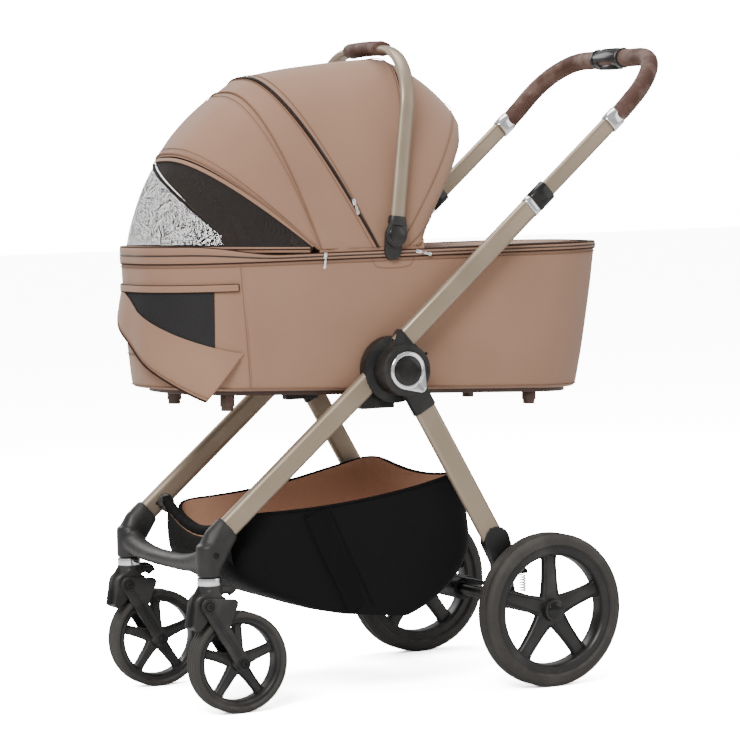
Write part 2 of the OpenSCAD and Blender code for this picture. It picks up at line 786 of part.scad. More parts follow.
// The hood's cloth between two depths below its surface, over stations from..to
module hood_shell(from, to, steps, over, under) {
    us = [for (i = [0:steps]) mix(from, to, i / steps)];
    cloth([for (u = us) hood_arc(u, over)], [for (u = us) hood_arc(u, under)]);
}
module hood_part(from, to, steps) {
    hood_shell(from, to, steps, 0, hood_cloth);
}

module hood_rear() { color([0.58, 0.47, 0.41]) hood_part(-1, -0.03, 8); }
module hood_main() { color([0.6, 0.49, 0.43]) hood_part(-0.02, 0.99, 6); }
module hood_visor() { color([0.6, 0.49, 0.43]) hood_part(1.01, 3, 9); }
module hood_net() { color([0.12, 0.11, 0.11]) hood_part(3.02, 4, 6); }

// Thin bow inside the hood, under the zipped seam
module hood_bow() {
    color([0.1, 0.1, 0.1]) hood_shell(0.93, 0.98, 1, hood_cloth + 0.5, hood_cloth + 3);
}

// ---------- the stroller ----------
placed() left() front_leg();  // front_leg_left
placed() front_leg();  // front_leg_right
placed() front_crossbar();
placed() hub_plates();
placed() seat_adapters();
placed() basket();
placed() basket_rail();
placed() left() swivel_stem();  // swivel_stem_left
placed() left() caster_housing();  // caster_housing_left
placed() left() caster_fork();  // caster_fork_left
placed() left() front_rim();  // front_rim_left
placed() left() front_tyre();  // front_tyre_left
placed() swivel_stem();  // swivel_stem_right
placed() caster_housing();  // caster_housing_right
placed() caster_fork();  // caster_fork_right
placed() front_rim();  // front_rim_right
placed() front_tyre();  // front_tyre_right
placed() left() rear_leg();  // rear_leg_left
placed() rear_leg();  // rear_leg_right
placed() hub_covers();
placed() hub_trims();
placed() hub_discs();
placed() rear_sockets();
placed() rear_crossbar();
placed() brake_rod();
placed() brake_housing();
placed() brake_pedal();
placed() left() rear_arm();  // rear_arm_left
placed() left() rear_spring();  // rear_spring_left
placed() left() rear_rim();  // rear_rim_left
placed() left() rear_tyre();  // rear_tyre_left
placed() rear_arm();  // rear_arm_right
placed() rear_spring();  // rear_spring_right
placed() rear_rim();  // rear_rim_right
placed() rear_tyre();  // rear_tyre_right
placed() handle_hubs();
placed() handle_tubes();
placed() handle_collars();
placed() collar_rings();
placed() upper_tubes();
placed() grip_ferrules();
placed() grip();
placed() grip_housing();
placed() grip_trigger();
placed() cot_tub();
placed() cot_rim();
placed() cot_base();
placed() cot_feet();
placed() cot_mattress();
placed() cot_flap();
placed() cot_apron();
placed() hinge_bases();
placed() carry_arch();
placed() arch_pad();
placed() hinge_buttons();
placed() hood_rear();
placed() hood_main();
placed() hood_bow();
placed() hood_visor();
placed() hood_net();
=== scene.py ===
import json
import math
import bmesh
import bpy
from mathutils import Matrix, Vector, noise

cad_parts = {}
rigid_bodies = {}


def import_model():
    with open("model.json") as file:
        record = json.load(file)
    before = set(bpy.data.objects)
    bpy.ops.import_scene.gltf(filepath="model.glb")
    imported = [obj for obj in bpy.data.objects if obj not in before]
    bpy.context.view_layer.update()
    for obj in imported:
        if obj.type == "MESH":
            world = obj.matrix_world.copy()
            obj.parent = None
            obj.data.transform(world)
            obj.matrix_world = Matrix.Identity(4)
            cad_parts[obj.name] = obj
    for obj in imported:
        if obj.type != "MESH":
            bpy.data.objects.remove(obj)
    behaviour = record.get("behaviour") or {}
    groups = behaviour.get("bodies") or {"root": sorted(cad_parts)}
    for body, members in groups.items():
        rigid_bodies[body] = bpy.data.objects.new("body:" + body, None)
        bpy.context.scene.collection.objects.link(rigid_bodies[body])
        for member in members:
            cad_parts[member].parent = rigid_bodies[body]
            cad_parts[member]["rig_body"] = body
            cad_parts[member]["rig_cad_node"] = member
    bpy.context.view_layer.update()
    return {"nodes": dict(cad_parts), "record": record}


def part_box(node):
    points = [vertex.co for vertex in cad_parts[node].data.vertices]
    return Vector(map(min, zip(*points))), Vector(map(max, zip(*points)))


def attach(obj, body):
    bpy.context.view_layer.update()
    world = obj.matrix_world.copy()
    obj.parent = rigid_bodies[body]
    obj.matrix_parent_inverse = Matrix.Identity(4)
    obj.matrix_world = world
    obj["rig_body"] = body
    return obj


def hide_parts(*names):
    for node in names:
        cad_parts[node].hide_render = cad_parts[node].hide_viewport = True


bl_info = {
    "name": "Pet stroller finish",
    "version": (1, 0, 0),
    "blender": (4, 5, 0),
    "location": "View3D > Sidebar > Stroller",
    "description": "Builds the cloth, leather, rubber and moulded finish of a pet stroller",
    "category": "Object",
}

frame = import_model()
NODES = frame["nodes"]


def middle(node):
    """Centre of a frame node's box, in metres."""
    low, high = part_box(node)
    return (low + high) / 2


# Side-view layout of the stroller in millimetres, turned into metres by at()
REAR_AXLE_X = 147.0
SHIFT = middle("rear_tyre_left").x * 1000 - REAR_AXLE_X
HUB = (-120.0, 588.0)
HINGE = (-109.0, 828.0)
RIM_Z = 790.0
COT = dict(front=-541.0, rear=373.0, half=174.0, corner=150.0)
HOOD_HALF = 171.0
ARCH = dict(lean=math.radians(7.7), height=338.0, half=182.0, corner=112.0)
GRIP = dict(x=-103.0, z=645.0, rise=math.radians(40.8), start=604.0, length=149.0, corner=105.0)


def at(x, y, z):
    return Vector(((x + SHIFT) / 1000, y / 1000, z / 1000))


def mix(a, b, t):
    return a + (b - a) * t


def clamp(t, low=0.0, high=1.0):
    return max(low, min(high, t))


def ease(t):
    t = clamp(t)
    return t * t * (3 - 2 * t)


def ripple(x, y, z, size):
    """Smooth noise from -1 to 1 with that feature size in millimetres."""
    return noise.noise(Vector((x / size, y / size, z / size)))


# ---------------------------------------------------------------- mesh building
def circle(r, n=16):
    return [(r * math.cos(2 * math.pi * i / n), r * math.sin(2 * math.pi * i / n)) for i in range(n)]


def oval(a, b, n=20, power=2.0):
    """Closed section with half width a and half height b; a higher power is squarer."""
    e = 2 / power
    points = []
    for i in range(n):
        c, s = math.cos(2 * math.pi * i / n), math.sin(2 * math.pi * i / n)
        points.append((a * math.copysign(abs(c) ** e, c), b * math.copysign(abs(s) ** e, s)))
    return points


def linked(a, ra, b, rb, n=14):
    """Outline of two discs joined by their outer tangents, in the side view."""
    d = math.hypot(b[0] - a[0], b[1] - a[1])
    aim = math.atan2(b[1] - a[1], b[0] - a[0])
    spread = math.acos((ra - rb) / d)
    start = [(a, ra, aim + spread + (2 * math.pi - 2 * spread) * i / n) for i in range(n + 1)]
    end = [(b, rb, aim - spread + 2 * spread * i / n) for i in range(n + 1)]
    return [(c[0] + r * math.cos(t), c[1] + r * math.sin(t)) for c, r, t in start + end]


class Shape:
    """Collects faces in layout millimetres and turns them into one piece."""

    def __init__(self):
        self.points = []
        self.faces = []
        self.finish = []

    def grid(self, rows, wrap=False, loop=False, ends=False, mat=0):
        """Quads between rows of points; wrap closes each row, loop closes the rows."""
        base, n, m = len(self.points), len(rows[0]), len(rows)
        for row in rows:
            self.points.extend(Vector(p) for p in row)
        for i in range(m if loop else m - 1):
            a, b = base + i * n, base + (i + 1) % m * n
            for j in range(n if wrap else n - 1):
                k = (j + 1) % n
                self.faces.append((a + j, a + k, b + k, b + j))
                self.finish.append(mat)
        if ends:
            self.faces.append(tuple(base + j for j in range(n - 1, -1, -1)))
            self.faces.append(tuple(base + (m - 1) * n + j for j in range(n)))
            self.finish.extend((mat, mat))
        return self

    def sweep(self, path, section, up=(0, 1, 0), loop=False, mat=0, sizes=None):
        """Carries a section along a path. up is one direction or one for each point."""
        path = [Vector(p) for p in path]
        ups = [Vector(u) for u in up] if hasattr(up[0], "__len__") else [Vector(up)] * len(path)
        rows, n = [], len(path)
        for i, p in enumerate(path):
            after = path[(i + 1) % n] if loop else path[min(i + 1, n - 1)]
            before = path[(i - 1) % n] if loop else path[max(i - 1, 0)]
            ahead = (after - before).normalized()
            side = ahead.cross(ups[i]).normalized()
            top = side.cross(ahead)
            k = sizes[i] if sizes else 1.0
            rows.append([p + side * (a * k) + top * (b * k) for a, b in section])
        return self.grid(rows, wrap=True, loop=loop, ends=not loop, mat=mat)

    def bead(self, path, r, up=(0, 1, 0), loop=False, mat=0, n=6):
        return self.sweep(path, circle(r, n), up, loop, mat)

    def turned(self, centre, profile, n=48, mat=0, axis="y"):
        """Revolves (radius, place along the axis) points about an axis through centre."""
        c = Vector(centre)
        rows = []
        for i in range(n):
            a = 2 * math.pi * i / n
            row = []
            for r, s in profile:
                flat = (r * math.cos(a), r * math.sin(a))
                offset = {"y": (flat[0], s, flat[1]), "z": (flat[0], flat[1], s), "x": (s, flat[0], flat[1])}
                row.append(c + Vector(offset[axis]))
            rows.append(row)
        return self.grid(rows, loop=True, mat=mat)

    def slab(self, outline, y0, y1, edge=1.5, mat=0):
        """Side-view outline given depth, with rounded rims."""
        cx = sum(p[0] for p in outline) / len(outline)
        cz = sum(p[1] for p in outline) / len(outline)
        reach = max(math.hypot(p[0] - cx, p[1] - cz) for p in outline)
        sign = 1 if y1 > y0 else -1
        rows = []
        for inset, y in ((edge, y0), (edge * 0.3, y0 + sign * edge * 0.3), (0, y0 + sign * edge),
                         (0, y1 - sign * edge), (edge * 0.3, y1 - sign * edge * 0.3), (edge, y1)):
            k = 1 - inset / reach
            rows.append([(cx + (p[0] - cx) * k, y, cz + (p[1] - cz) * k) for p in outline])
        return self.grid(rows, wrap=True, ends=True, mat=mat)

    def cloth(self, rows, thick, mat=0, inner=1, loop=False):
        """Closed cloth: the rows are its outside, and its inside lies thick below them."""
        m, n = len(rows), len(rows[0])
        rows = [[Vector(p) for p in row] for row in rows]
        under = []
        for i in range(m):
            line = []
            for j in range(n):
                i0, i1 = ((i - 1) % m, (i + 1) % m) if loop else (max(i - 1, 0), min(i + 1, m - 1))
                along = rows[i1][j] - rows[i0][j]
                across = rows[i][min(j + 1, n - 1)] - rows[i][max(j - 1, 0)]
                normal = across.cross(along)
                normal = normal.normalized() if normal.length > 1e-9 else Vector((0, 0, 1))
                line.append(rows[i][j] - normal * thick)
            under.append(line)
        base = len(self.points)
        self.grid(rows, loop=loop, mat=mat)
        self.grid(under, loop=loop, mat=inner)
        count = m * n

        def rim(cells):
            for a, b in zip(cells, cells[1:]):
                self.faces.append((base + a, base + b, base + count + b, base + count + a))
                self.finish.append(mat)

        ring = list(range(m)) + ([0] if loop else [])
        rim([i * n for i in ring])
        rim([i * n + n - 1 for i in ring])
        if not loop:
            rim(list(range(n)))
            rim([(m - 1) * n + j for j in range(n)])
        return self

    def make(self, name, finishes, body, slot, replaces=(), crease=40):
        """The finished object, riding on a body."""
        mesh = bpy.data.meshes.new(name)
        mesh.from_pydata([at(*p) for p in self.points], [], self.faces)
        for f, k in zip(mesh.polygons, self.finish):
            f.material_index = min(k, len(finishes) - 1)
        bm = bmesh.new()
        bm.from_mesh(mesh)
        bmesh.ops.remove_doubles(bm, verts=bm.verts, dist=2e-6)
        bmesh.ops.recalc_face_normals(bm, faces=bm.faces)
        bm.to_mesh(mesh)
        bm.free()
        mesh.shade_smooth()
        mesh.set_sharp_from_angle(angle=math.radians(crease))
        piece = bpy.data.objects.new(name, mesh)
        bpy.context.scene.collection.objects.link(piece)
        for finish in finishes:
            mesh.materials.append(bpy.data.materials[finish])
        if body:
            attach(piece, body)
        if replaces:
            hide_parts(*replaces)
        return piece


def sides(side):
    """-1 for the left side of the stroller and 1 for the right."""
    return -1 if side == "left" else 1


def softened(node, name, finish, body, voxel=2.0, passes=6):
    """A moulded piece: the frame node's own solid with its corners run together."""
    source = NODES[node]
    piece = source.copy()
    piece.data = source.data.copy()
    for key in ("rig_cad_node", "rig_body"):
        if key in piece:
            del piece[key]
    piece.parent = None
    piece.name = name
    piece.data.name = name
    bpy.context.scene.collection.objects.link(piece)
    bm = bmesh.new()
    bm.from_mesh(piece.data)
    bmesh.ops.remove_doubles(bm, verts=bm.verts, dist=1e-5)
    bm.to_mesh(piece.data)
    bm.free()
    remesh = piece.modifiers.new("Body", "REMESH")
    remesh.mode = "VOXEL"
    remesh.voxel_size = voxel / 1000
    smooth = piece.modifiers.new("Run", "SMOOTH")
    smooth.factor = 0.6
    smooth.iterations = passes
    settle(piece)
    piece.data.materials.clear()
    piece.data.materials.append(bpy.data.materials[finish])
    piece.data.shade_smooth()
    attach(piece, body)
    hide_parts(node)
    return piece


def settle(piece):
    """Applies a piece's modifiers to its mesh."""
    depsgraph = bpy.context.evaluated_depsgraph_get()
    mesh = bpy.data.meshes.new_from_object(piece.evaluated_get(depsgraph))
    piece.modifiers.clear()
    piece.data = mesh


# ---------------------------------------------------------------- node groups
def group(name, inputs, outputs):
    tree = bpy.data.node_groups.new(name, "ShaderNodeTree")
    for label, kind, value in inputs:
        socket = tree.interface.new_socket(label, in_out="INPUT", socket_type=kind)
        socket.default_value = value
    for label, kind in outputs:
        tree.interface.new_socket(label, in_out="OUTPUT", socket_type=kind)
    return tree, tree.nodes.new("NodeGroupInput"), tree.nodes.new("NodeGroupOutput")


class Wires:
    """Short ways to place and join nodes in one tree."""

    def __init__(self, tree):
        self.tree = tree

    def node(self, kind, **values):
        n = self.tree.nodes.new("ShaderNode" + kind)
        for key, value in values.items():
            setattr(n, key, value)
        return n

    def feed(self, socket, value):
        if hasattr(value, "is_output"):
            self.tree.links.new(value, socket)
        else:
            socket.default_value = value

    def math(self, operation, a, b=0.0):
        n = self.node("Math", operation=operation)
        self.feed(n.inputs[0], a)
        self.feed(n.inputs[1], b)
        return n.outputs[0]

    def blend(self, factor, a, b, mode="MIX"):
        n = self.node("Mix", data_type="RGBA", blend_type=mode)
        self.feed(n.inputs["Factor"], factor)
        self.feed(n.inputs[6], a)
        self.feed(n.inputs[7], b)
        return n.outputs[2]

    def spots(self, scale, detail=2.0, stretch=None):
        place = self.node("TexCoord").outputs["Object"]
        if stretch:
            mapping = self.node("Mapping")
            self.feed(mapping.inputs["Vector"], place)
            mapping.inputs["Scale"].default_value = stretch
            place = mapping.outputs["Vector"]
        n = self.node("TexNoise")
        self.feed(n.inputs["Vector"], place)
        self.feed(n.inputs["Scale"], scale)
        n.inputs["Detail"].default_value = detail
        return n.outputs["Fac"]

    def span(self, value, low, high, to_low=0.0, to_high=1.0):
        n = self.node("MapRange")
        self.feed(n.inputs["Value"], value)
        for key, v in (("From Min", low), ("From Max", high), ("To Min", to_low), ("To Max", to_high)):
            n.inputs[key].default_value = v
        return n.outputs["Result"]


COLOUR, NUMBER = "NodeSocketColor", "NodeSocketFloat"


def make_weave():
    """Plain weave with a melange of lighter and darker threads."""
    tree, into, out = group("Woven cloth",
                            [("Colour", COLOUR, (0.4, 0.3, 0.24, 1)), ("Threads", NUMBER, 4200.0),
                             ("Melange", NUMBER, 0.3)],
                            [("Colour", COLOUR), ("Height", NUMBER), ("Roughness", NUMBER)])
    w = Wires(tree)
    place = w.node("SeparateXYZ")
    w.feed(place.inputs[0], w.node("TexCoord").outputs["Object"])
    x, y, z = place.outputs
    threads = into.outputs["Threads"]
    warp = w.math("SINE", w.math("MULTIPLY", w.math("ADD", x, y), threads))
    rise = w.math("ADD", z, w.math("MULTIPLY", w.math("SUBTRACT", x, y), 0.35))
    weft = w.math("SINE", w.math("MULTIPLY", rise, threads))
    weave = w.math("MULTIPLY", warp, weft)
    slub = w.spots(900.0, 1.0, (1.0, 1.0, 3.0))
    broad = w.spots(5.0, 2.0)
    dark = w.blend(0.5, into.outputs["Colour"], (0.55, 0.5, 0.47, 1), "MULTIPLY")
    light = w.blend(0.25, into.outputs["Colour"], (1.0, 0.97, 0.93, 1), "SOFT_LIGHT")
    thread = w.math("MULTIPLY", w.span(slub, 0.35, 0.68), into.outputs["Melange"])
    toned = w.blend(thread, into.outputs["Colour"], dark)
    w.feed(out.inputs["Colour"], w.blend(w.span(broad, 0.35, 0.7, 0.0, 0.55), toned, light))
    w.feed(out.inputs["Height"], w.math("ADD", w.math("MULTIPLY", weave, 0.35), slub))
    w.feed(out.inputs["Roughness"], w.span(slub, 0.3, 0.7, 0.86, 0.72))


def make_grain():
    """Fine moulded grain with faint polish marks."""
    tree, into, out = group("Moulded grain",
                            [("Colour", COLOUR, (0.05, 0.05, 0.05, 1)), ("Grain", NUMBER, 1500.0),
                             ("Gloss", NUMBER, 0.5)],
                            [("Colour", COLOUR), ("Height", NUMBER), ("Roughness", NUMBER)])
    w = Wires(tree)
    fine = w.spots(into.outputs["Grain"], 2.0)
    broad = w.spots(14.0, 3.0)
    lifted = w.blend(0.12, into.outputs["Colour"], (0.6, 0.57, 0.53, 1))
    w.feed(out.inputs["Colour"], w.blend(w.span(broad, 0.5, 0.8, 0.0, 0.5), into.outputs["Colour"], lifted))
    w.feed(out.inputs["Height"], fine)
    w.feed(out.inputs["Roughness"],
           w.math("ADD", into.outputs["Gloss"], w.span(broad, 0.3, 0.7, -0.06, 0.08)))


def make_hide():
    """Leather pores and creases."""
    tree, into, out = group("Leather grain",
                            [("Colour", COLOUR, (0.22, 0.13, 0.1, 1)), ("Pores", NUMBER, 900.0)],
                            [("Colour", COLOUR), ("Height", NUMBER), ("Roughness", NUMBER)])
    w = Wires(tree)
    cells = w.node("TexVoronoi", feature="DISTANCE_TO_EDGE")
    w.feed(cells.inputs["Vector"], w.node("TexCoord").outputs["Object"])
    w.feed(cells.inputs["Scale"], into.outputs["Pores"])
    crease = w.span(cells.outputs["Distance"], 0.0, 0.12)
    worn = w.spots(28.0, 4.0)
    dark = w.blend(0.6, into.outputs["Colour"], (0.45, 0.38, 0.34, 1), "MULTIPLY")
    light = w.blend(0.3, into.outputs["Colour"], (0.75, 0.55, 0.45, 1))
    toned = w.blend(crease, dark, into.outputs["Colour"])
    w.feed(out.inputs["Colour"], w.blend(w.span(worn, 0.45, 0.75, 0.0, 0.6), toned, light))
    w.feed(out.inputs["Height"], w.math("ADD", crease, w.math("MULTIPLY", worn, 0.5)))
    w.feed(out.inputs["Roughness"], w.span(worn, 0.3, 0.7, 0.62, 0.45))


def make_dust():
    """Light dust on faces that look up, thinner higher above the ground."""
    tree, into, out = group("Settled dust", [("Amount", NUMBER, 0.3)], [("Mask", NUMBER)])
    w = Wires(tree)
    facing = w.node("SeparateXYZ")
    w.feed(facing.inputs[0], w.node("NewGeometry").outputs["Normal"])
    height = w.node("SeparateXYZ")
    w.feed(height.inputs[0], w.node("TexCoord").outputs["Object"])
    upward = w.span(facing.outputs["Z"], 0.2, 1.0)
    low = w.span(height.outputs["Z"], 0.0, 0.6, 1.0, 0.15)
    patches = w.span(w.spots(45.0, 3.0), 0.4, 0.7)
    mask = w.math("MULTIPLY", w.math("MULTIPLY", upward, low), patches)
    w.feed(out.inputs["Mask"], w.math("MULTIPLY", mask, into.outputs["Amount"]))


def make_holes():
    """Round holes of a knitted net: 1 on the threads and 0 in the holes."""
    tree, into, out = group("Net holes", [("Holes", NUMBER, 520.0), ("Thread", NUMBER, 0.3)],
                            [("Mask", NUMBER)])
    w = Wires(tree)
    cells = w.node("TexVoronoi", feature="F1")
    cells.inputs["Randomness"].default_value = 0.6
    w.feed(cells.inputs["Vector"], w.node("TexCoord").outputs["Object"])
    w.feed(cells.inputs["Scale"], into.outputs["Holes"])
    w.feed(out.inputs["Mask"], w.math("GREATER_THAN", cells.outputs["Distance"], into.outputs["Thread"]))


def surface(name, effect, colour, settings=(), bump=0.1, dust=0.0, creases=0.0, **shader):
    """A material: one effect group, a bump and the shader's own constants."""
    material = bpy.data.materials.new(name)
    material.use_nodes = True
    w = Wires(material.node_tree)
    shade = material.node_tree.nodes["Principled BSDF"]
    n = w.node("Group")
    n.node_tree = bpy.data.node_groups[effect]
    n.inputs["Colour"].default_value = (*colour, 1)
    for key, value in dict(settings).items():
        n.inputs[key].default_value = value
    tone = n.outputs["Colour"]
    if dust:
        d = w.node("Group")
        d.node_tree = bpy.data.node_groups["Settled dust"]
        d.inputs["Amount"].default_value = dust
        tone = w.blend(d.outputs["Mask"], tone, (0.12, 0.11, 0.095, 1))
    w.feed(shade.inputs["Base Color"], tone)
    w.feed(shade.inputs["Roughness"], n.outputs["Roughness"])
    b = w.node("Bump")
    b.inputs["Strength"].default_value = bump
    b.inputs["Distance"].default_value = 0.0006
    w.feed(b.inputs["Height"], n.outputs["Height"])
    if creases:
        c = w.node("Bump")
        c.inputs["Strength"].default_value = creases
        c.inputs["Distance"].default_value = 0.008
        w.feed(c.inputs["Height"], w.spots(13.0, 3.0, (1.0, 1.0, 0.6)))
        w.feed(b.inputs["Normal"], c.outputs["Normal"])
    w.feed(shade.inputs["Normal"], b.outputs["Normal"])
    shade.inputs["Specular IOR Level"].default_value = 0.12 if effect == "Woven cloth" else 0.4
    for key, value in shader.items():
        shade.inputs[key.replace("_", " ")].default_value = value
    return material


def finishes(looks):
    """Every effect group and material, in the colours of the settings."""
    for make in (make_weave, make_grain, make_hide, make_dust, make_holes):
        make()
    cloth, frame_tone = tuple(looks.cloth_colour), tuple(looks.frame_colour)
    leather, moulded = tuple(looks.leather_colour), tuple(looks.moulded_colour)
    # A darker copy of the cloth for the insides and undersides of the cloth pieces: painted shade.
    painted_shade_cloth = tuple(c * 0.62 for c in cloth)
    weave, grain = "Woven cloth", "Moulded grain"
    surface("Champagne coat", grain, frame_tone, {"Grain": 2600.0, "Gloss": 0.36}, 0.02,
            Metallic=0.55)
    surface("Black moulding", grain, moulded, {"Grain": 1500.0, "Gloss": 0.42}, 0.12, 0.25)
    surface("Yoke moulding", grain, tuple(c * 2.0 for c in moulded), {"Grain": 1300.0, "Gloss": 0.44},
            0.14, 0.35)
    surface("Gloss black", grain, tuple(c * 0.5 for c in moulded), {"Grain": 900.0, "Gloss": 0.16}, 0.01)
    surface("Wheel moulding", grain, tuple(c * 1.7 for c in moulded), {"Grain": 1200.0, "Gloss": 0.34},
            0.08, 0.25)
    surface("Tyre rubber", grain, (0.032, 0.029, 0.0255), {"Grain": 2400.0, "Gloss": 0.66}, 0.3, 0.5)
    surface("Chrome", grain, (0.86, 0.86, 0.87), {"Grain": 400.0, "Gloss": 0.1}, 0.005, Metallic=1.0)
    surface("Satin steel", grain, (0.42, 0.42, 0.42), {"Grain": 2600.0, "Gloss": 0.3}, 0.04, Metallic=1.0)
    surface("Dark steel", grain, (0.02, 0.02, 0.02), {"Grain": 2200.0, "Gloss": 0.38}, 0.04, Metallic=0.6)
    surface("Base board", grain, (0.06, 0.028, 0.019), {"Grain": 1200.0, "Gloss": 0.4}, 0.1)
    surface("Stitched leather", "Leather grain", leather, {"Pores": 820.0}, 0.35, Specular_IOR_Level=0.3)
    surface("Cot cloth", weave, cloth, {"Threads": 4200.0, "Melange": 0.22}, 0.1, 0, 0.12,
            Sheen_Weight=0.22, Sheen_Roughness=0.5)
    # Painted shade: the cloth darkened to 62 percent, for insides and undersides.
    surface("Cot lining", weave, painted_shade_cloth, {"Threads": 3600.0, "Melange": 0.3}, 0.12, 0, 0.2,
            Sheen_Weight=0.1)
    surface("Mattress cloth", weave, tuple(c * 0.95 for c in cloth), {"Threads": 2600.0, "Melange": 0.3},
            0.2, 0, 0.2, Sheen_Weight=0.3)
    surface("Basket cloth", weave, (0.0035, 0.0035, 0.0037), {"Threads": 3000.0, "Melange": 0.25}, 0.15,
            0.3, 0.35, Sheen_Weight=0.05)
    surface("Basket front cloth", weave, (0.014, 0.0135, 0.013), {"Threads": 2600.0, "Melange": 0.4}, 0.2,
            0.3, 0.2)
    surface("Basket lining", weave, tuple(c * 1.7 for c in cloth), {"Threads": 3000.0, "Melange": 0.3},
            0.15, 0.1, 0.3)
    surface("Black webbing", weave, (0.0035, 0.0035, 0.0035), {"Threads": 1800.0, "Melange": 0.5}, 0.4)
    surface("Dark piping", weave, (0.03, 0.015, 0.011), {"Threads": 5200.0, "Melange": 0.4}, 0.3)
    surface("Cloth piping", weave, tuple(c * 0.72 for c in cloth), {"Threads": 5200.0, "Melange": 0.3}, 0.3)
    surface("Zip teeth", grain, (0.018, 0.011, 0.009), {"Grain": 900.0, "Gloss": 0.35}, 0.9)
    surface("Leather thread", weave, (0.16, 0.095, 0.075), {"Threads": 6000.0, "Melange": 0.2}, 0.3)
    surface("Window net", weave, (0.026, 0.025, 0.026), {"Threads": 2400.0, "Melange": 1.0}, 0.6, 0.5, 0.4)
    net = surface("Hood net", weave, (0.03, 0.026, 0.024), {"Threads": 2400.0, "Melange": 0.5}, 0.2)
    w = Wires(net.node_tree)
    holes = w.node("Group")
    holes.node_tree = bpy.data.node_groups["Net holes"]
    holes.inputs["Holes"].default_value = 1050.0
    holes.inputs["Thread"].default_value = 0.37
    w.feed(net.node_tree.nodes["Principled BSDF"].inputs["Alpha"], holes.outputs["Mask"])


# ---------------------------------------------------------------- shared lines
def cot_floor(x):
    return 551 - 0.045 * (x + 42)


def wall(t, s, out=0.0):
    """Carrycot wall: t from the floor to the rim, s along the rim from the front's middle
    (minus on the left), out from the cloth. Gives the point and its outward direction."""
    flat = COT["half"] - COT["corner"]
    arc = COT["corner"] * math.pi / 2
    straight = COT["rear"] - COT["front"] - 2 * COT["corner"]
    x0, x1 = mix(COT["front"] + 5, COT["front"], t), mix(COT["rear"] - 36, COT["rear"], t)
    half = mix(153, COT["half"], t)
    r, side, run = COT["corner"], (-1 if s < 0 else 1), abs(s)
    for kind, length in enumerate((flat, arc, straight, arc, flat)):
        if run <= length or kind == 4:
            break
        run -= length
    f = clamp(run / length)
    a = f * math.pi / 2
    inner = half - r
    if kind == 0:
        x, y, n = x0, f * inner, (-1, 0)
    elif kind == 1:
        n = (-math.cos(a), math.sin(a))
        x, y = x0 + r + r * n[0], inner + r * n[1]
    elif kind == 2:
        x, y, n = mix(x0 + r, x1 - r, f), half, (0, 1)
    elif kind == 3:
        n = (math.sin(a), math.cos(a))
        x, y = x1 - r + r * n[0], inner + r * n[1]
    else:
        x, y, n = x1, inner * (1 - f), (1, 0)
    x, y = x + out * n[0], (y + out * n[1]) * side
    return Vector((x, y, mix(cot_floor(x) - 5, RIM_Z, t))), Vector((n[0], side * n[1], 0))


ROUND = 1133.0  # half way round the rim


def wall_at(z, s, out=0.0):
    """The same, for a height instead of t."""
    low = cot_floor(-300)
    t = (z - low) / (RIM_Z - low)
    p, n = wall(t, s, out)
    return Vector((p.x, p.y, z)), n


def s_of(x, side=-1):
    """Distance round the rim of the point on the straight side wall at that x."""
    flat, arc = COT["half"] - COT["corner"], COT["corner"] * math.pi / 2
    return side * (flat + arc + x - COT["front"] - COT["corner"])


def rim_top(x):
    t = clamp((-330 - x) / 170)
    return 801 + 19 * t * t * (3 - 2 * t)


def bulge(t, s, x, y, z):
    """How far the padded wall swells out between its seams."""
    swell = 3.2 * math.sin(math.pi * clamp(t)) ** 0.8
    swell *= 1 - 0.6 * math.exp(-((abs(s) - 240) / 10) ** 2)
    return swell + 1.3 * ripple(x, y, z, 150) + 0.5 * ripple(x, y, z, 45)


def hood_station(u):
    """Foot x, foot z, crown x and crown z of the hood's arched section u."""
    if u < 0:
        a = math.radians(-9 + 84 * u)
        dome = 335 + 0.9 * math.degrees(a)
        slope = 89.4 / max(0.05, -math.sin(a) - 0.629 * math.cos(a))
        r = (dome ** -8 + slope ** -8) ** -0.125
        return mix(HINGE[0], -60, -u), 808, HINGE[0] - r * math.sin(a), HINGE[1] + r * math.cos(a)
    if u < 1:
        return mix(HINGE[0], -137, u), 808, mix(HINGE[0] + 50, -321, u), 1117 + 33 * (1 - u * u)
    if u < 2:
        return mix(-137, -250, u - 1), 808, mix(-321, -357, u - 1), mix(1117, 1092, u - 1)
    top = u < 3
    v = u - 2 if top else u - 3
    a = math.radians(mix(20.5, 52, v) if top else mix(52, 88.5, v))
    r = mix(303, 279, v) if top else mix(279, 288, v)
    return (-250 if top else -256) - 6 * v, 808, -250 - r * math.sin(a), 808 + r * math.cos(a)


def hood_point(u, turn, inset=0.0):
    """Point of the hood's section u; turn runs from -1 at the left foot to 1 at the right."""
    s = hood_station(u)
    a, e = turn * math.pi / 2, 2 / 2.6
    y = (HOOD_HALF - inset) * math.copysign(abs(math.sin(a)) ** e, a)
    h = max(0.0, math.cos(a)) ** e
    r = 1 - inset / max(40, math.hypot(s[2] - s[0], s[3] - s[1]))
    return Vector((mix(s[0], s[2], h * r), y, mix(s[1], s[3], h * r)))


def hood_line(u, inset=0.0, n=64, low=1.0):
    """The whole arched section, from foot to foot, with its outward directions."""
    turns = [low * (2 * i / n - 1) for i in range(n + 1)]
    line = [hood_point(u, t, inset) for t in turns]
    s = hood_station(u)
    heart = Vector((s[0], 0, s[1]))
    return line, [(p - heart).normalized() for p in line]


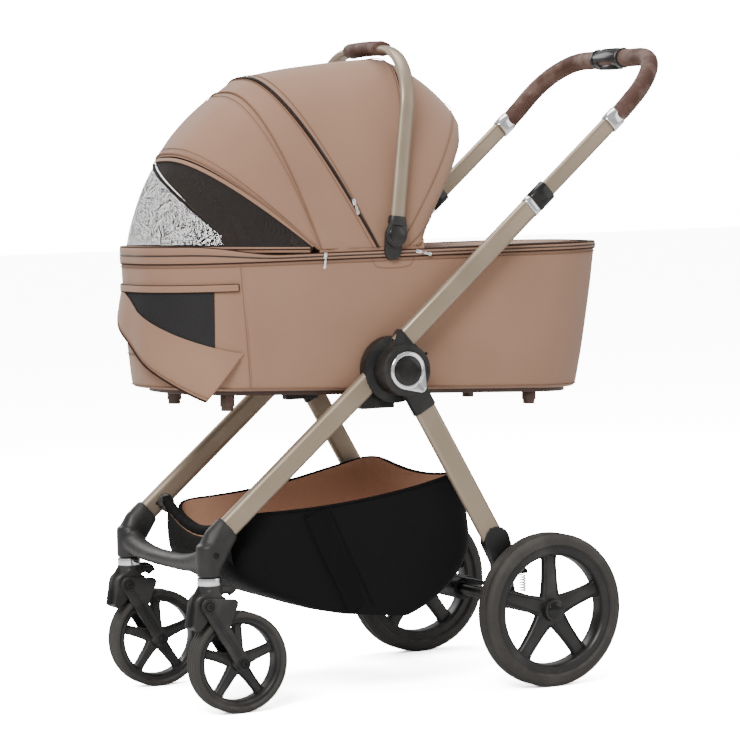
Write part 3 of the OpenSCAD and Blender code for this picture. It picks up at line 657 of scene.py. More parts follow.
def arch_line(low=30.0):
    """Middle of the carry handle from the left hinge over the top to the right one."""
    c, top, half = ARCH["corner"], ARCH["height"], ARCH["half"]
    points = [(half + 3, low), (half + 2, 80), (half, 150), (half - 1, top - c - 20)]
    points += [(half - c - 1 + c * math.cos(a), top - c + c * math.sin(a))
               for a in [math.pi / 2 * i / 12 for i in range(13)]]
    points += [(50, top), (25, top)]
    lean = ARCH["lean"]
    right = [Vector((HINGE[0] + h * math.sin(lean), y, HINGE[1] + h * math.cos(lean)))
             for y, h in points]
    left = [Vector((p.x, -p.y, p.z)) for p in right]
    return spline(left + [Vector((HINGE[0] + top * math.sin(lean), 0, HINGE[1] + top * math.cos(lean)))]
                  + right[::-1], 4)


def spline(points, steps, loop=False):
    """Smooth line through the points."""
    n, line = len(points), []
    for i in range(n if loop else n - 1):
        p0 = points[(i - 1) % n] if loop else points[max(i - 1, 0)]
        p1, p2 = points[i], points[(i + 1) % n]
        p3 = points[(i + 2) % n] if loop else points[min(i + 2, n - 1)]
        for k in range(steps):
            t = k / steps
            line.append(0.5 * (2 * p1 + (p2 - p0) * t + (2 * p0 - 5 * p1 + 4 * p2 - p3) * t * t
                               + (3 * p1 - p0 - 3 * p2 + p3) * t ** 3))
    return line if loop else line + [points[-1].copy()]


def stitch_row(shape, line, outs, length=4.5, gap=3.0, r=0.55, mat=0):
    """Short raised stitches along a line."""
    room, start = 0.0, None
    for i in range(1, len(line)):
        a, b = line[i - 1], line[i]
        step = (b - a).length
        if start is None:
            start = a
        room += step
        if room >= length:
            shape.bead([start, (start + b) / 2 + outs[i] * r * 0.6, b], r, outs[i], mat=mat, n=5)
            room, start = -gap, None
        elif room < 0 and room + step >= 0:
            start = b
    return shape


def zip_pull(shape, p, out, down, mat=0):
    """Slider and hanging tab of a zip."""
    out, down = Vector(out).normalized(), Vector(down).normalized()
    shape.sweep([p - down * 5, p + out * 1.5, p + down * 5], oval(3.4, 2.2, 12, 3), out, mat=mat)
    ring = [p + out * (3.2 + 1.5 * math.cos(a)) + down * (6 + 4 * math.sin(a)) for a in
            [2 * math.pi * i / 10 for i in range(10)]]
    shape.bead(ring, 0.9, out.cross(down), loop=True, mat=mat)
    tab = [p + out * 3 + down * (9 + 3.2 * i) for i in range(6)]
    shape.sweep(tab, oval(2.6, 0.9, 12, 3), out, mat=mat, sizes=[0.7, 1, 0.8, 1.0, 1.15, 0.8])


def screw(shape, p, direction, r, mat=0):
    """Domed screw head with a round recess."""
    d = Vector(direction).normalized()
    side = d.orthogonal().normalized()
    top = d.cross(side)

    def ring(radius, rise, n=24):
        return [p + (side * math.cos(2 * math.pi * i / n) + top * math.sin(2 * math.pi * i / n)) * radius
                + d * rise for i in range(n)]

    shape.grid([ring(r, -0.5), ring(r, r * 0.15), ring(r * 0.85, r * 0.36), ring(r * 0.5, r * 0.42),
                ring(r * 0.46, r * 0.05)], wrap=True, ends=True, mat=mat)


def puff(piece, voxel, pressure, cap, steps=20):
    """Blows a closed piece up as padded cloth and keeps each point within cap metres."""
    remesh = piece.modifiers.new("Skin", "REMESH")
    remesh.mode = "VOXEL"
    remesh.voxel_size = voxel
    finishes_kept = list(piece.data.materials)
    settle(piece)
    before = [v.co.copy() for v in piece.data.vertices]
    scene = bpy.context.scene
    cloth = piece.modifiers.new("Cloth", "CLOTH")
    cloth.settings.use_pressure = True
    cloth.settings.uniform_pressure_force = pressure
    cloth.settings.effector_weights.gravity = 0
    cloth.point_cache.frame_start, cloth.point_cache.frame_end = 1, steps
    for f in range(1, steps + 1):
        scene.frame_set(f)
    settle(piece)
    for v, rest in zip(piece.data.vertices, before):
        move = v.co - rest
        if move.length > cap:
            v.co = rest + move.normalized() * cap
    scene.frame_set(1)
    smooth = piece.modifiers.new("Even", "SUBSURF")
    smooth.levels = smooth.render_levels = 1
    settle(piece)
    piece.data.materials.clear()
    for finish in finishes_kept:
        piece.data.materials.append(finish)
    piece.data.shade_smooth()


# ---------------------------------------------------------------- settings
class StrollerLooks(bpy.types.PropertyGroup):
    """Colours and sizes that a user would change."""

    cloth_colour: bpy.props.FloatVectorProperty(
        name="Cloth", description="Carrycot and hood cloth", subtype="COLOR", size=3, min=0, max=1,
        default=(0.30, 0.172, 0.114))
    frame_colour: bpy.props.FloatVectorProperty(
        name="Frame", description="Coat of the tubes", subtype="COLOR", size=3, min=0, max=1,
        default=(0.33, 0.262, 0.19))
    leather_colour: bpy.props.FloatVectorProperty(
        name="Leather", description="Grip and carry-handle leather", subtype="COLOR", size=3, min=0,
        max=1, default=(0.082, 0.036, 0.025))
    moulded_colour: bpy.props.FloatVectorProperty(
        name="Mouldings", description="Black moulded parts", subtype="COLOR", size=3, min=0, max=1,
        default=(0.0085, 0.008, 0.0078))
    tread_depth: bpy.props.FloatProperty(
        name="Tread depth", description="Depth of the grooves in the tyres", default=0.0016, min=0.0005,
        max=0.003, unit="LENGTH")
    padding: bpy.props.FloatProperty(
        name="Mattress swell", description="Most that the mattress swells out of its cut size",
        default=0.009, min=0.0, max=0.016, unit="LENGTH")
    floor_size: bpy.props.FloatProperty(
        name="Floor", description="Side of the studio floor", default=60.0, min=4, max=100,
        unit="LENGTH")


def looks():
    return bpy.context.scene.stroller_looks


# ---------------------------------------------------------------- operators
class FinishFrame(bpy.types.Operator):
    """Give the frame nodes their finishes and rounded edges"""

    bl_idname = "stroller.finish_frame"
    bl_label = "Frame finishes"

    def execute(self, context):
        finishes(looks())
        by_slot = {"frame_metal": "Champagne coat", "black_plastic": "Black moulding",
                   "rim_plastic": "Wheel moulding", "tyre": "Tyre rubber", "chrome": "Chrome",
                   "dark_metal": "Dark steel", "spring_steel": "Satin steel",
                   "pedal_plastic": "Gloss black", "leather": "Stitched leather",
                   "cot_fabric": "Cot cloth", "net": "Hood net", "basket_fabric": "Basket cloth",
                   "lining": "Mattress cloth", "base_board": "Base board"}
        special = {"hub_discs": "Gloss black", "grip_housing": "Gloss black",
                   "hinge_buttons": "Gloss black", "handle_collars": "Gloss black"}
        rounded = {"front_leg_left": 0, "front_leg_right": 0, "hub_trims": 1.2, "hub_discs": 1.2,
                   "collar_rings": 1.2, "grip_ferrules": 2.0, "hub_covers": 1.8, "hub_plates": 2.0,
                   "handle_hubs": 1.8, "handle_collars": 1.8, "hinge_buttons": 1.4}
        for part in frame["record"]["subparts"]:
            node = NODES[part["node"]]
            finish = special.get(part["node"], by_slot[part["material_slot"]])
            node.data.materials.clear()
            node.data.materials.append(bpy.data.materials[finish])
            width = rounded.get(part["node"], 0.8)
            if width:
                weld = node.modifiers.new("Weld", "WELD")
                weld.merge_threshold = 1e-5
                bevel = node.modifiers.new("Rounded edges", "BEVEL")
                bevel.width = width / 1000
                bevel.segments = 2
                bevel.limit_method = "ANGLE"
                bevel.angle_limit = math.radians(48)
                bevel.use_clamp_overlap = True
                bevel.harden_normals = False
            node.data.shade_smooth()
            node.data.set_sharp_from_angle(angle=math.radians(35))
        return {"FINISHED"}


class MakeWheels(bpy.types.Operator):
    """Build the grooved tyres and the spoked wheels"""

    bl_idname = "stroller.make_wheels"
    bl_label = "Wheels"

    def tyre(self, radius, inner, half, groove):
        """Section from one bead over the tread to the other, as radius and width points."""
        depth = looks().tread_depth * 1000
        corner = min(half * 0.62, (radius - inner) * 0.62)
        crown = half - corner
        edge = [(inner - 1.5, -half * 0.72), (inner + 0.5, -half * 0.9), (inner + 3, -half)]
        edge += [(radius - corner + corner * math.sin(a), -crown - corner * math.cos(a))
                 for a in [math.pi / 2 * i / 8 for i in range(1, 8)]]
        tread = []
        for y in groove:
            tread += [(radius, y - 1.9), (radius - depth, y - 1.0), (radius - depth, y + 1.0),
                      (radius, y + 1.9)]
        return edge + [(radius, -crown)] + tread + [(radius, crown)] + [(r, -y) for r, y in edge[::-1]]

    def wheel(self, shape, centre, side, rim_r, ring, half, hub_r, hub_half, spoke):
        """Ring, hub, cap and spokes, with the cap and the spoke ridges on the outside."""
        inner = rim_r - ring
        lip = [(rim_r - 0.5, -half), (inner + 3, -half - 1), (inner, -half + 2), (inner - 1.5, -half + 5),
               (inner - 1.5, half - 5), (inner, half - 2), (inner + 3, half + 1), (rim_r - 0.5, half),
               (rim_r - 2, half - 3), (rim_r - 2, 3 - half)]
        shape.turned(centre, lip + lip[:1], 72)
        shape.turned(centre, [(0.01, -hub_half), (hub_r * 0.8, -hub_half), (hub_r, -hub_half + 2),
                              (hub_r * 1.06, 0), (hub_r, hub_half - 3), (hub_r * 0.86, hub_half),
                              (0.01, hub_half)], 40)
        face = side * hub_half
        cap = [(hub_r * 0.78, face - side), (hub_r * 0.76, face + side * 1.6),
               (hub_r * 0.66, face + side * 3.2), (hub_r * 0.4, face + side * 4.4), (0.01, face + side * 4.8)]
        shape.turned(centre, cap, 40, mat=1)
        thick = half * 0.5
        for k in range(5):
            a = math.pi / 2 + 2 * math.pi * k / 5
            ahead = Vector((math.cos(a), 0, math.sin(a)))
            across = Vector((-math.sin(a), 0, math.cos(a)))
            rows = []
            for i in range(13):
                f = i / 12
                r = mix(hub_r * 0.85, inner + ring * 0.25, f)
                w = spoke * (0.68 + 0.34 * (1 - f) ** 3 + 0.2 * (max(0, f - 0.8) / 0.2) ** 1.6)
                depth = mix(thick, thick * 0.86, f)
                section = oval(w, depth, 20, 3.6)
                rows.append([centre + ahead * r + across * p + Vector((0, q, 0)) for p, q in section])
            shape.grid(rows, wrap=True, ends=True)
            line = [centre + ahead * mix(hub_r * 1.25, inner - 3, i / 8) + Vector((0, side * thick, 0))
                    for i in range(9)]
            for s in (-1, 1):
                shape.bead([p + across * s * spoke * mix(0.62, 0.44, i / 8) for i, p in enumerate(line)],
                           0.9, (0, 1, 0))

    def execute(self, context):
        for side in ("left", "right"):
            for place, body, groove, rim_r, ring, hub_r, spoke in (
                    ("front", "front_wheel_", (-9, 0, 9), 78, 9, 15, 13),
                    ("rear", "rear_wheel_", (-12, -4, 4, 12), 117, 16, 20, 20)):
                tyre_node, rim_node = place + "_tyre_" + side, place + "_rim_" + side
                low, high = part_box(tyre_node)
                c = (low + high) / 2 * 1000
                centre = Vector((c.x - SHIFT, c.y, c.z))
                radius = (high.z - low.z) * 500
                half = (high.y - low.y) * 500
                shape = Shape()
                shape.turned(centre, self.tyre(radius, rim_r, half, groove), 120)
                shape.make("tread_" + place + "_" + side, ["Tyre rubber"], body + side, "tyre",
                           [tyre_node], 30)
                shape = Shape()
                hub_half = (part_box(rim_node)[1].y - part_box(rim_node)[0].y) * 500
                self.wheel(shape, centre, sides(side), rim_r, ring, half * 0.78, hub_r, hub_half, spoke)
                shape.make("wheel_" + place + "_" + side, ["Wheel moulding", "Gloss black"], body + side,
                           "rim_plastic", [rim_node], 32)
        return {"FINISHED"}


class MakeCasters(bpy.types.Operator):
    """Build the yoke, the caster housings, forks, bolts and release levers"""

    bl_idname = "stroller.make_casters"
    bl_label = "Yoke and casters"

    def execute(self, context):
        softened("front_crossbar", "yoke", "Yoke moulding", "chassis", 2.4, 15)
        for side in ("left", "right"):
            k = sides(side)
            softened("caster_housing_" + side, "caster_neck_" + side, "Yoke moulding",
                     "caster_" + side, 1.5, 4)
            softened("caster_fork_" + side, "fork_arms_" + side, "Yoke moulding",
                     "fork_" + side, 1.5, 3)
            c = middle("swivel_stem_" + side) * 1000
            y, x = c.y, c.x - SHIFT
            shape = Shape()
            shape.turned((x, y, 0), [(0.01, 242), (20.6, 242), (21.4, 240), (21.4, 238.2), (20.2, 237.4),
                                     (20.2, 236.4), (21.4, 235.6), (21.4, 232), (20.6, 230.2),
                                     (0.01, 230.2)], 56, axis="z")
            shape.make("swivel_ring_" + side, ["Chrome"], "caster_" + side, "chrome")
            shape = Shape()
            for d in (-1, 1):
                screw(shape, Vector((-506, y + d * 31.2, 196)), (0, d, 0), 7.5, 1)
                screw(shape, Vector((-443, y + d * 31.2, 90)), (0, d, 0), 7, 1)
                shape.turned((-506, y, 196), [(13, d * 30), (12.6, d * 31.6), (9, d * 31.9), (8.4, d * 30.5)],
                             32)
                shape.turned((-443, y, 90), [(12, d * 30), (11.6, d * 31.6), (8.6, d * 31.9), (8, d * 30.5)],
                             32)
                rib = [Vector((-500, y + d * 30.4, 184)), Vector((-478, y + d * 30.8, 148)),
                       Vector((-450, y + d * 30.4, 104))]
                shape.sweep(spline(rib, 6), oval(4.2, 1.1, 12, 3), (0, d, 0))
            shape.make("fork_fittings_" + side, ["Black moulding", "Dark steel"], "fork_" + side,
                       "black_plastic")
            shape = Shape()
            lever = [Vector((-472, y, 221)), Vector((-462, y, 222)), Vector((-453, y, 219)),
                     Vector((-448, y, 212))]
            shape.sweep(spline(lever, 6), oval(3.4, 11, 18, 3), (1, 0, 0.2),
                        sizes=[1 - 0.25 * i / 18 for i in range(19)])
            fairing = [Vector((-502, y, 219)), Vector((-512, y, 204)), Vector((-521, y, 182)),
                       Vector((-526, y, 157))]
            shape.sweep(spline(fairing, 6), oval(16, 2.6, 26, 4), (0, 1, 0),
                        sizes=[1 - 0.06 * (i / 18) ** 2 for i in range(19)])
            shape.make("caster_lever_" + side, ["Yoke moulding"], "caster_" + side, "black_plastic")
            shape = Shape()
            screw(shape, Vector((-486, k * 204.5, 283)), (0, k, 0.1), 5, 1)
            leg = Vector((math.cos(math.radians(40.3)), 0, math.sin(math.radians(40.3))))
            screw(shape, Vector((-460, k * 170, 321)) + leg * 30, (0, -k, 0), 3.6, 1)
            shape.make("yoke_fittings_" + side, ["Yoke moulding", "Dark steel"], "chassis",
                       "black_plastic")
        return {"FINISHED"}


class MakeHub(bpy.types.Operator):
    """Build the fold hub's covers, windows and screws, the adapters and the rear sockets"""

    bl_idname = "stroller.make_hub"
    bl_label = "Fold hub and rear frame"

    def execute(self, context):
        softened("rear_sockets", "rear_sockets_body", "Black moulding", "rear_frame",
                 1.8, 3)
        softened("seat_adapters", "cot_adapters", "Black moulding", "chassis", 1.8, 4)
        x, z = HUB
        for side in ("left", "right"):
            k = sides(side)
            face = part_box("hub_discs")[1].y * 1000 * k
            shape = Shape()
            centre = Vector((x, 0, z))
            dome = [(0.01, face + k * 1.2), (9, face + k * 1.1), (18, face + k * 0.7), (24, face),
                    (25.6, face - k * 1.2), (26, face - k * 3)]
            shape.turned(centre, dome, 56, mat=1)
            ring = [(27, face - k * 4), (27.4, face - k * 0.6), (29, face + k * 0.4), (32.4, face - k * 0.2),
                    (34.2, face - k * 1.8), (34.6, face - k * 4)]
            shape.turned(centre, ring, 72, mat=2)
            shape.turned(centre, [(35.4, face - k * 4), (36, face - k * 2.6), (44, face - k * 3.2),
                                  (46.4, face - k * 5)], 72)
            low, high = Vector((x + 18, face - k * 0.8, z - 25)), Vector((x + 30, face - k * 1.2, z - 37))
            shape.sweep([low, (low + high) / 2, high], oval(5.2, 1.1, 16, 3), (0, k, 0), mat=3,
                        sizes=[1.0, 0.9, 0.6])
            lens = [Vector((x + 40, face - k * 3.4, z + s)) for s in (-6, -2, 2, 6)]
            shape.sweep(lens, oval(2.6, 1.0, 14, 3), (0, k, 0), mat=4)
            for dx, dz in ((-34, -34), (46, 34)):
                screw(shape, Vector((x + dx * 0.84, face - k * 5.2, z + dz * 0.84)), (0, k, 0), 3, 4)
            shape.make("hub_face_" + side, ["Black moulding", "Gloss black", "Chrome", "Satin steel",
                                            "Dark steel"], "rear_frame", "black_plastic")
            shape = Shape()
            low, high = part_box("rear_spring_" + side)
            c = middle("rear_spring_" + side) * 1000
            turns, r = 6.5, 5.2
            coil = []
            for i in range(int(turns * 16) + 1):
                a = 2 * math.pi * i / 16
                coil.append(Vector((c.x - SHIFT + r * math.cos(a), c.y + r * math.sin(a),
                                    mix(low.z * 1000 + 1.4, high.z * 1000 - 1.4, i / (turns * 16)))))
            shape.bead(coil, 1.25, (0, 0, 1), n=8)
            shape.make("coil_" + side, ["Satin steel"], "rear_arm_" + side, "spring_steel",
                       ["rear_spring_" + side])
            shape = Shape()
            screw(shape, Vector((85, k * 233.4, 160)), (0, k, 0), 8, 0)
            leg = Vector((math.sin(math.radians(28.9)), 0, -math.cos(math.radians(28.9))))
            screw(shape, Vector((x, k * 232.3, z)) + leg * 340, (0, k, 0), 3.2, 0)
            shape.make("rear_screws_" + side, ["Dark steel"], "rear_frame", "dark_metal")
        return {"FINISHED"}


class MakeGrip(bpy.types.Operator):
    """Build the stitched leather grip and its buttons"""

    bl_idname = "stroller.make_grip"
    bl_label = "Handle grip"

    def execute(self, context):
        g = GRIP
        side_y = middle("upper_tubes").y * 1000 + (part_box("upper_tubes")[1].y * 1000 - 7.2)
        ahead = Vector((math.cos(g["rise"]), 0, math.sin(g["rise"])))
        top = Vector((-math.sin(g["rise"]), 0, math.cos(g["rise"])))
        start = Vector((g["x"], 0, g["z"]))
        c = g["corner"]
        flat = [(g["start"] - 12 + i * 6, side_y) for i in range(9)]
        flat = [p for p in flat if p[0] < g["start"] + g["length"] - c]
        flat += [(g["start"] + g["length"] - c + c * math.sin(a), side_y - c + c * math.cos(a))
                 for a in [math.pi / 2 * i / 30 for i in range(31)]]
        steps = 14
        flat += [(g["start"] + g["length"], (side_y - c) * (1 - i / steps)) for i in range(1, steps + 1)]

        def place(s, y):
            lift = 10 * math.sin(math.pi / 2 * clamp((s - g["start"] + 14) / (g["length"] + 14))) ** 2
            return start + ahead * s + Vector((0, y, 0)) + top * lift

        right = [place(s, y) for s, y in flat]
        line = [Vector((p.x, -p.y, p.z)) for p in right] + right[-2::-1]
        r = 16.5
        sizes = [1 + 0.02 * ripple(p.x, p.y, p.z, 18) for p in line]
        sizes[0] = sizes[-1] = 0.86
        sizes[1] = sizes[-2] = 0.98
        shape = Shape()
        shape.sweep(line, circle(r, 28), top, sizes=sizes)
        inner = []
        for i, p in enumerate(line):
            d = (line[min(i + 1, len(line) - 1)] - line[max(i - 1, 0)]).normalized()
            inner.append((d, d.cross(top).normalized()))
        seam = [p + (n * -0.62 - top * 0.79).normalized() * (r - 0.1) for p, (d, n) in zip(line, inner)]
        shape.bead(seam, 1.3, [(p - q).normalized() for p, q in zip(seam, line)], mat=1, n=8)
        length = 0.0
        for i in range(2, len(line) - 2):
            length += (line[i] - line[i - 1]).length
            if length < 4.6 or abs(line[i].y) < 50:
                continue
            length = 0.0
            d, n = inner[i]
            arc = []
            for q in range(7):
                a = mix(math.radians(168), math.radians(300), q / 6)
                out = (n * math.cos(a) + top * math.sin(a)).normalized()
                arc.append(line[i] + out * (r + 0.25) + d * mix(-2.0, 2.0, q / 6))
            shape.bead(arc, 0.7, d, mat=1, n=5)
        shape.make("grip_leather", ["Stitched leather", "Leather thread"], "handle_upper", "leather",
                   ["grip"], 50)
        low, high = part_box("grip_housing")
        m = (low + high) / 2 * 1000
        m = Vector((m.x - SHIFT, m.y, m.z))
        shape = Shape()
        for k in (-1, 1):
            shape.turned(m, [(17, k * 41), (19.2, k * 42), (19.6, k * 45), (18.8, k * 47.5), (16, k * 48)],
                         40)
        shape.sweep([m + Vector((0, y, 18.2)) for y in (-22, -8, 8, 22)], oval(7, 1.8, 18, 3.2), (0, 0, 1),
                    mat=1)
        for y in (-31, 31):
            screw(shape, m + Vector((-13, y, 12.5)), (-0.7, 0, 0.7), 2.6, 1)
        shape.make("grip_details", ["Gloss black", "Black moulding"], "handle_upper", "black_plastic")
        for k in (-1, 1):
            shape = Shape()
            spot = start + ahead * 352
            y = k * (side_y + 10.9)
            knob = [(0.01, y + k * 1.6), (4, y + k * 1.5), (6, y + k * 0.6), (6.6, y - k)]
            shape.turned((spot.x + 15, 0, spot.z + 13), knob, 24)
            shape.make("collar_button_" + ("left" if k < 0 else "right"), ["Dark steel"], "handle_lower",
                       "dark_metal")
        return {"FINISHED"}


class MakeArch(bpy.types.Operator):
    """Build the carry handle, its leather pad and its hinges"""

    bl_idname = "stroller.make_arch"
    bl_label = "Carry handle"

    def execute(self, context):
        lean = ARCH["lean"]
        fore = Vector((math.cos(lean), 0, -math.sin(lean)))
        rise = Vector((math.sin(lean), 0, math.cos(lean)))
        line = arch_line()
        shape = Shape()
        shape.sweep(line, oval(7.5, 14, 28, 2.3), fore)
        shape.make("arch_tube", ["Champagne coat"], "carry_handle", "frame_metal", ["carry_arch"])
        shape = Shape()
        for k in (-1, 1):
            shape.slab(linked(HINGE, 21, (HINGE[0] + 4, HINGE[1] + 16), 17, 12), k * 182, k * 190.6, 1.6)
            foot = [Vector((HINGE[0] + h * math.sin(lean), k * 185, HINGE[1] + h * math.cos(lean)))
                    for h in (18, 22, 26, 31, 34)]
            shape.sweep(foot, oval(10.2, 17, 28, 2.6), fore, sizes=[0.9, 1, 1, 0.98, 0.9])
            shape.turned((HINGE[0], 0, HINGE[1]), [(18, k * 190), (17.4, k * 192.2), (15.4, k * 193.4),
                                                   (14, k * 192.6), (0.01, k * 192.8)], 44, mat=1)
        shape.make("arch_hinges", ["Black moulding", "Gloss black"], "carry_handle", "black_plastic")
        shape = Shape()
        crown = ARCH["height"] + 4
        centre = Vector((HINGE[0], 0, HINGE[1])) + rise * crown
        half = 66
        pad = [centre + Vector((0, mix(-half, half, i / 44), 0)) - rise * (2.2 * abs(i / 22 - 1) ** 3)
               for i in range(45)]
        sizes = []
        for i in range(45):
            f = abs(i / 22 - 1)
            sizes.append((1 - 0.22 * clamp((f - 0.93) / 0.07) ** 2) * (1 + 0.012 * math.sin(i * 1.9)))
        shape.sweep(pad, oval(13.2, 18.4, 32, 2.4), fore, sizes=sizes)
        for f in (-0.9, 0.9):
            n = 36
            hoop = [centre + Vector((0, half * f, 0)) - rise * 1.6 + fore * (18.5 * math.cos(a)) +
                    rise * (13.3 * math.sin(a)) for a in [2 * math.pi * i / n for i in range(n)]]
            shape.bead(hoop, 0.8, (0, 1, 0), loop=True, mat=1)
        for s in (-1, 1):
            seam = [p + fore * s * 13.5 + rise * 10.1 for p in pad[3:-3]]
            stitch_row(shape, spline(seam, 3), [rise] * 200, 4.2, 2.6, 0.6, 1)
        shape.make("arch_leather", ["Stitched leather", "Leather thread"], "carry_handle", "leather",
                   ["arch_pad"], 50)
        return {"FINISHED"}


class MakeCot(bpy.types.Operator):
    """Build the padded carrycot shell with its seams, zipped rim and an inside coloured a darker copy of the
    cloth as painted shade
    """

    bl_idname = "stroller.make_cot"
    bl_label = "Carrycot shell and rim"

    def execute(self, context):
        steps = [-ROUND + 2 * ROUND * i / 220 for i in range(220)]
        shape = Shape()
        levels = [(0.0, -16), (0.0, -7), (0.006, -3), (0.018, -0.8), (0.035, 0)]
        levels += [(0.035 + 0.965 * i / 22, 0) for i in range(1, 23)]
        rows = []
        for t, out in levels:
            row = []
            for s in steps:
                p, n = wall(t, s)
                row.append(p + n * (out + bulge(t, s, p.x, p.y, p.z) * ease(t * 12)))
            rows.append(row)
        shape.grid(rows, wrap=True)
        inside = []
        for t in (1.0, 0.7, 0.4, 0.2, 0.09):
            row = []
            for s in steps:
                p, n = wall(t, s)
                row.append(p - n * (12 + 1.2 * ripple(p.x, p.y, p.z, 90)))
            inside.append(row)
        inside.append([wall(0.06, s, -24)[0] + Vector((0, 0, 4)) for s in steps])
        # The inside walls and the inner floor take the darkened cloth: painted shade.
        shape.grid([rows[-1]] + inside, wrap=True, mat=1)
        base = len(shape.points)
        shape.points.extend([Vector((-80, 0, cot_floor(-80))), Vector((-80, 0, cot_floor(-80) + 20))])
        n = len(steps)
        last = base - n
        for j in range(n):
            k = (j + 1) % n
            shape.faces.append((k, j, base))
            shape.faces.append((last + j, last + k, base + 1))
            shape.finish.extend((0, 1))
        tub = shape.make("cot_shell", ["Cot cloth", "Cot lining"], "carrycot", "cot_fabric", ["cot_tub"], 50)
        self.rim(steps)
        self.seams()
        return {"FINISHED"}

    def rim(self, steps):
        shape = Shape()
        rows = []
        for s in steps:
            p, n = wall(1, s)
            top, low = rim_top(p.x), RIM_Z - 1
            tall = top - low
            cut = [(0.6, 0), (2.6, 1.2), (3.4, tall * 0.3), (2.4, tall * 0.46), (2.4, tall * 0.54),
                   (3.2, tall * 0.72), (2.4, tall - 1.4), (0, tall), (-8, tall), (-12.4, tall - 1.5),
                   (-13, 2)]
            rows.append([p + n * o + Vector((0, 0, low - RIM_Z + h)) for o, h in cut])
        shape.grid(rows, wrap=True, loop=True)
        shape.make("cot_rim_band", ["Cot cloth"], "carrycot", "cot_fabric", ["cot_rim"], 70)
        shape = Shape()
        for share, out, r, mat in ((0.5, 2.6, 1.35, 0), (0.02, 1.6, 1.5, 1), (0.98, 1.4, 1.2, 1)):
            line, ups = [], []
            for s in steps:
                p, n = wall(1, s)
                z = mix(RIM_Z - 1, rim_top(p.x), share)
                line.append(Vector((p.x, p.y, z)) + n * out)
                ups.append(Vector((0, 0, 1)))
            shape.bead(line, r, ups, loop=True, mat=mat, n=7)
        shape.make("cot_rim_zip", ["Zip teeth", "Dark piping"], "carrycot", "cot_fabric")
        shape = Shape()
        for s, place in ((s_of(-247), (0, 0.3, -1)), (s_of(-247, 1), (0, -0.3, -1)),
                         (s_of(-60), (1, 0, -0.25)), (s_of(-60, 1), (1, 0, -0.25))):
            p, n = wall(1, s, 4)
            zip_pull(shape, Vector((p.x, p.y, 797)), n, place)
        shape.make("rim_zip_pulls", ["Chrome"], "carrycot", "chrome")

    def seams(self):
        shape = Shape()
        for side in (-1, 1):
            line, ups = [], []
            for i in range(30):
                t = mix(0.02, 0.985, i / 29)
                s = side * mix(257, 240, t)
                p, n = wall(t, s)
                line.append(p + n * (bulge(t, s, p.x, p.y, p.z) * ease(t * 12) + 0.25))
                ups.append(n)
            shape.bead(line, 0.75, ups, n=6)
            beside = [p + Vector((3.5, 0, 0)) for p in spline(line, 3)]
            stitch_row(shape, beside, [Vector((0, side, 0))] * 300, 3.2, 2.2, 0.4)
            u = []
            for a, b in ((-41, 0), (-40, -12), (-34, -24), (-20, -29), (0, -30), (20, -29), (34, -24),
                         (40, -12), (41, 0)):
                z = 788 + b * 0.62
                p, n = wall_at(z, s_of(HINGE[0] + a, side))
                t = (z - 551) / 239
                u.append(p + n * (bulge(t, s_of(HINGE[0] + a, side), p.x, p.y, p.z) + 0.3))
            arc = spline(u, 6)
            shape.bead(arc, 0.7, (0, side, 0))
        low_seam = [wall_at(628, -238 + 476 * i / 60) for i in range(61)]
        shape.bead([p + n * (3.0 + 0.2) for p, n in low_seam], 0.7, [n for p, n in low_seam])
        for t, out in ((0.022, 0.6), (0.972, 1.2)):
            steps = [-ROUND + 2 * ROUND * i / 200 for i in range(200)]
            line = []
            for s in steps:
                p, n = wall(t, s)
                line.append(p + n * (out + bulge(t, s, p.x, p.y, p.z) * ease(t * 12)))
            shape.bead(line, 0.8, [Vector((0, 0, 1))] * 200, loop=True)
        shape.make("cot_seams", ["Cloth piping"], "carrycot", "cot_fabric")


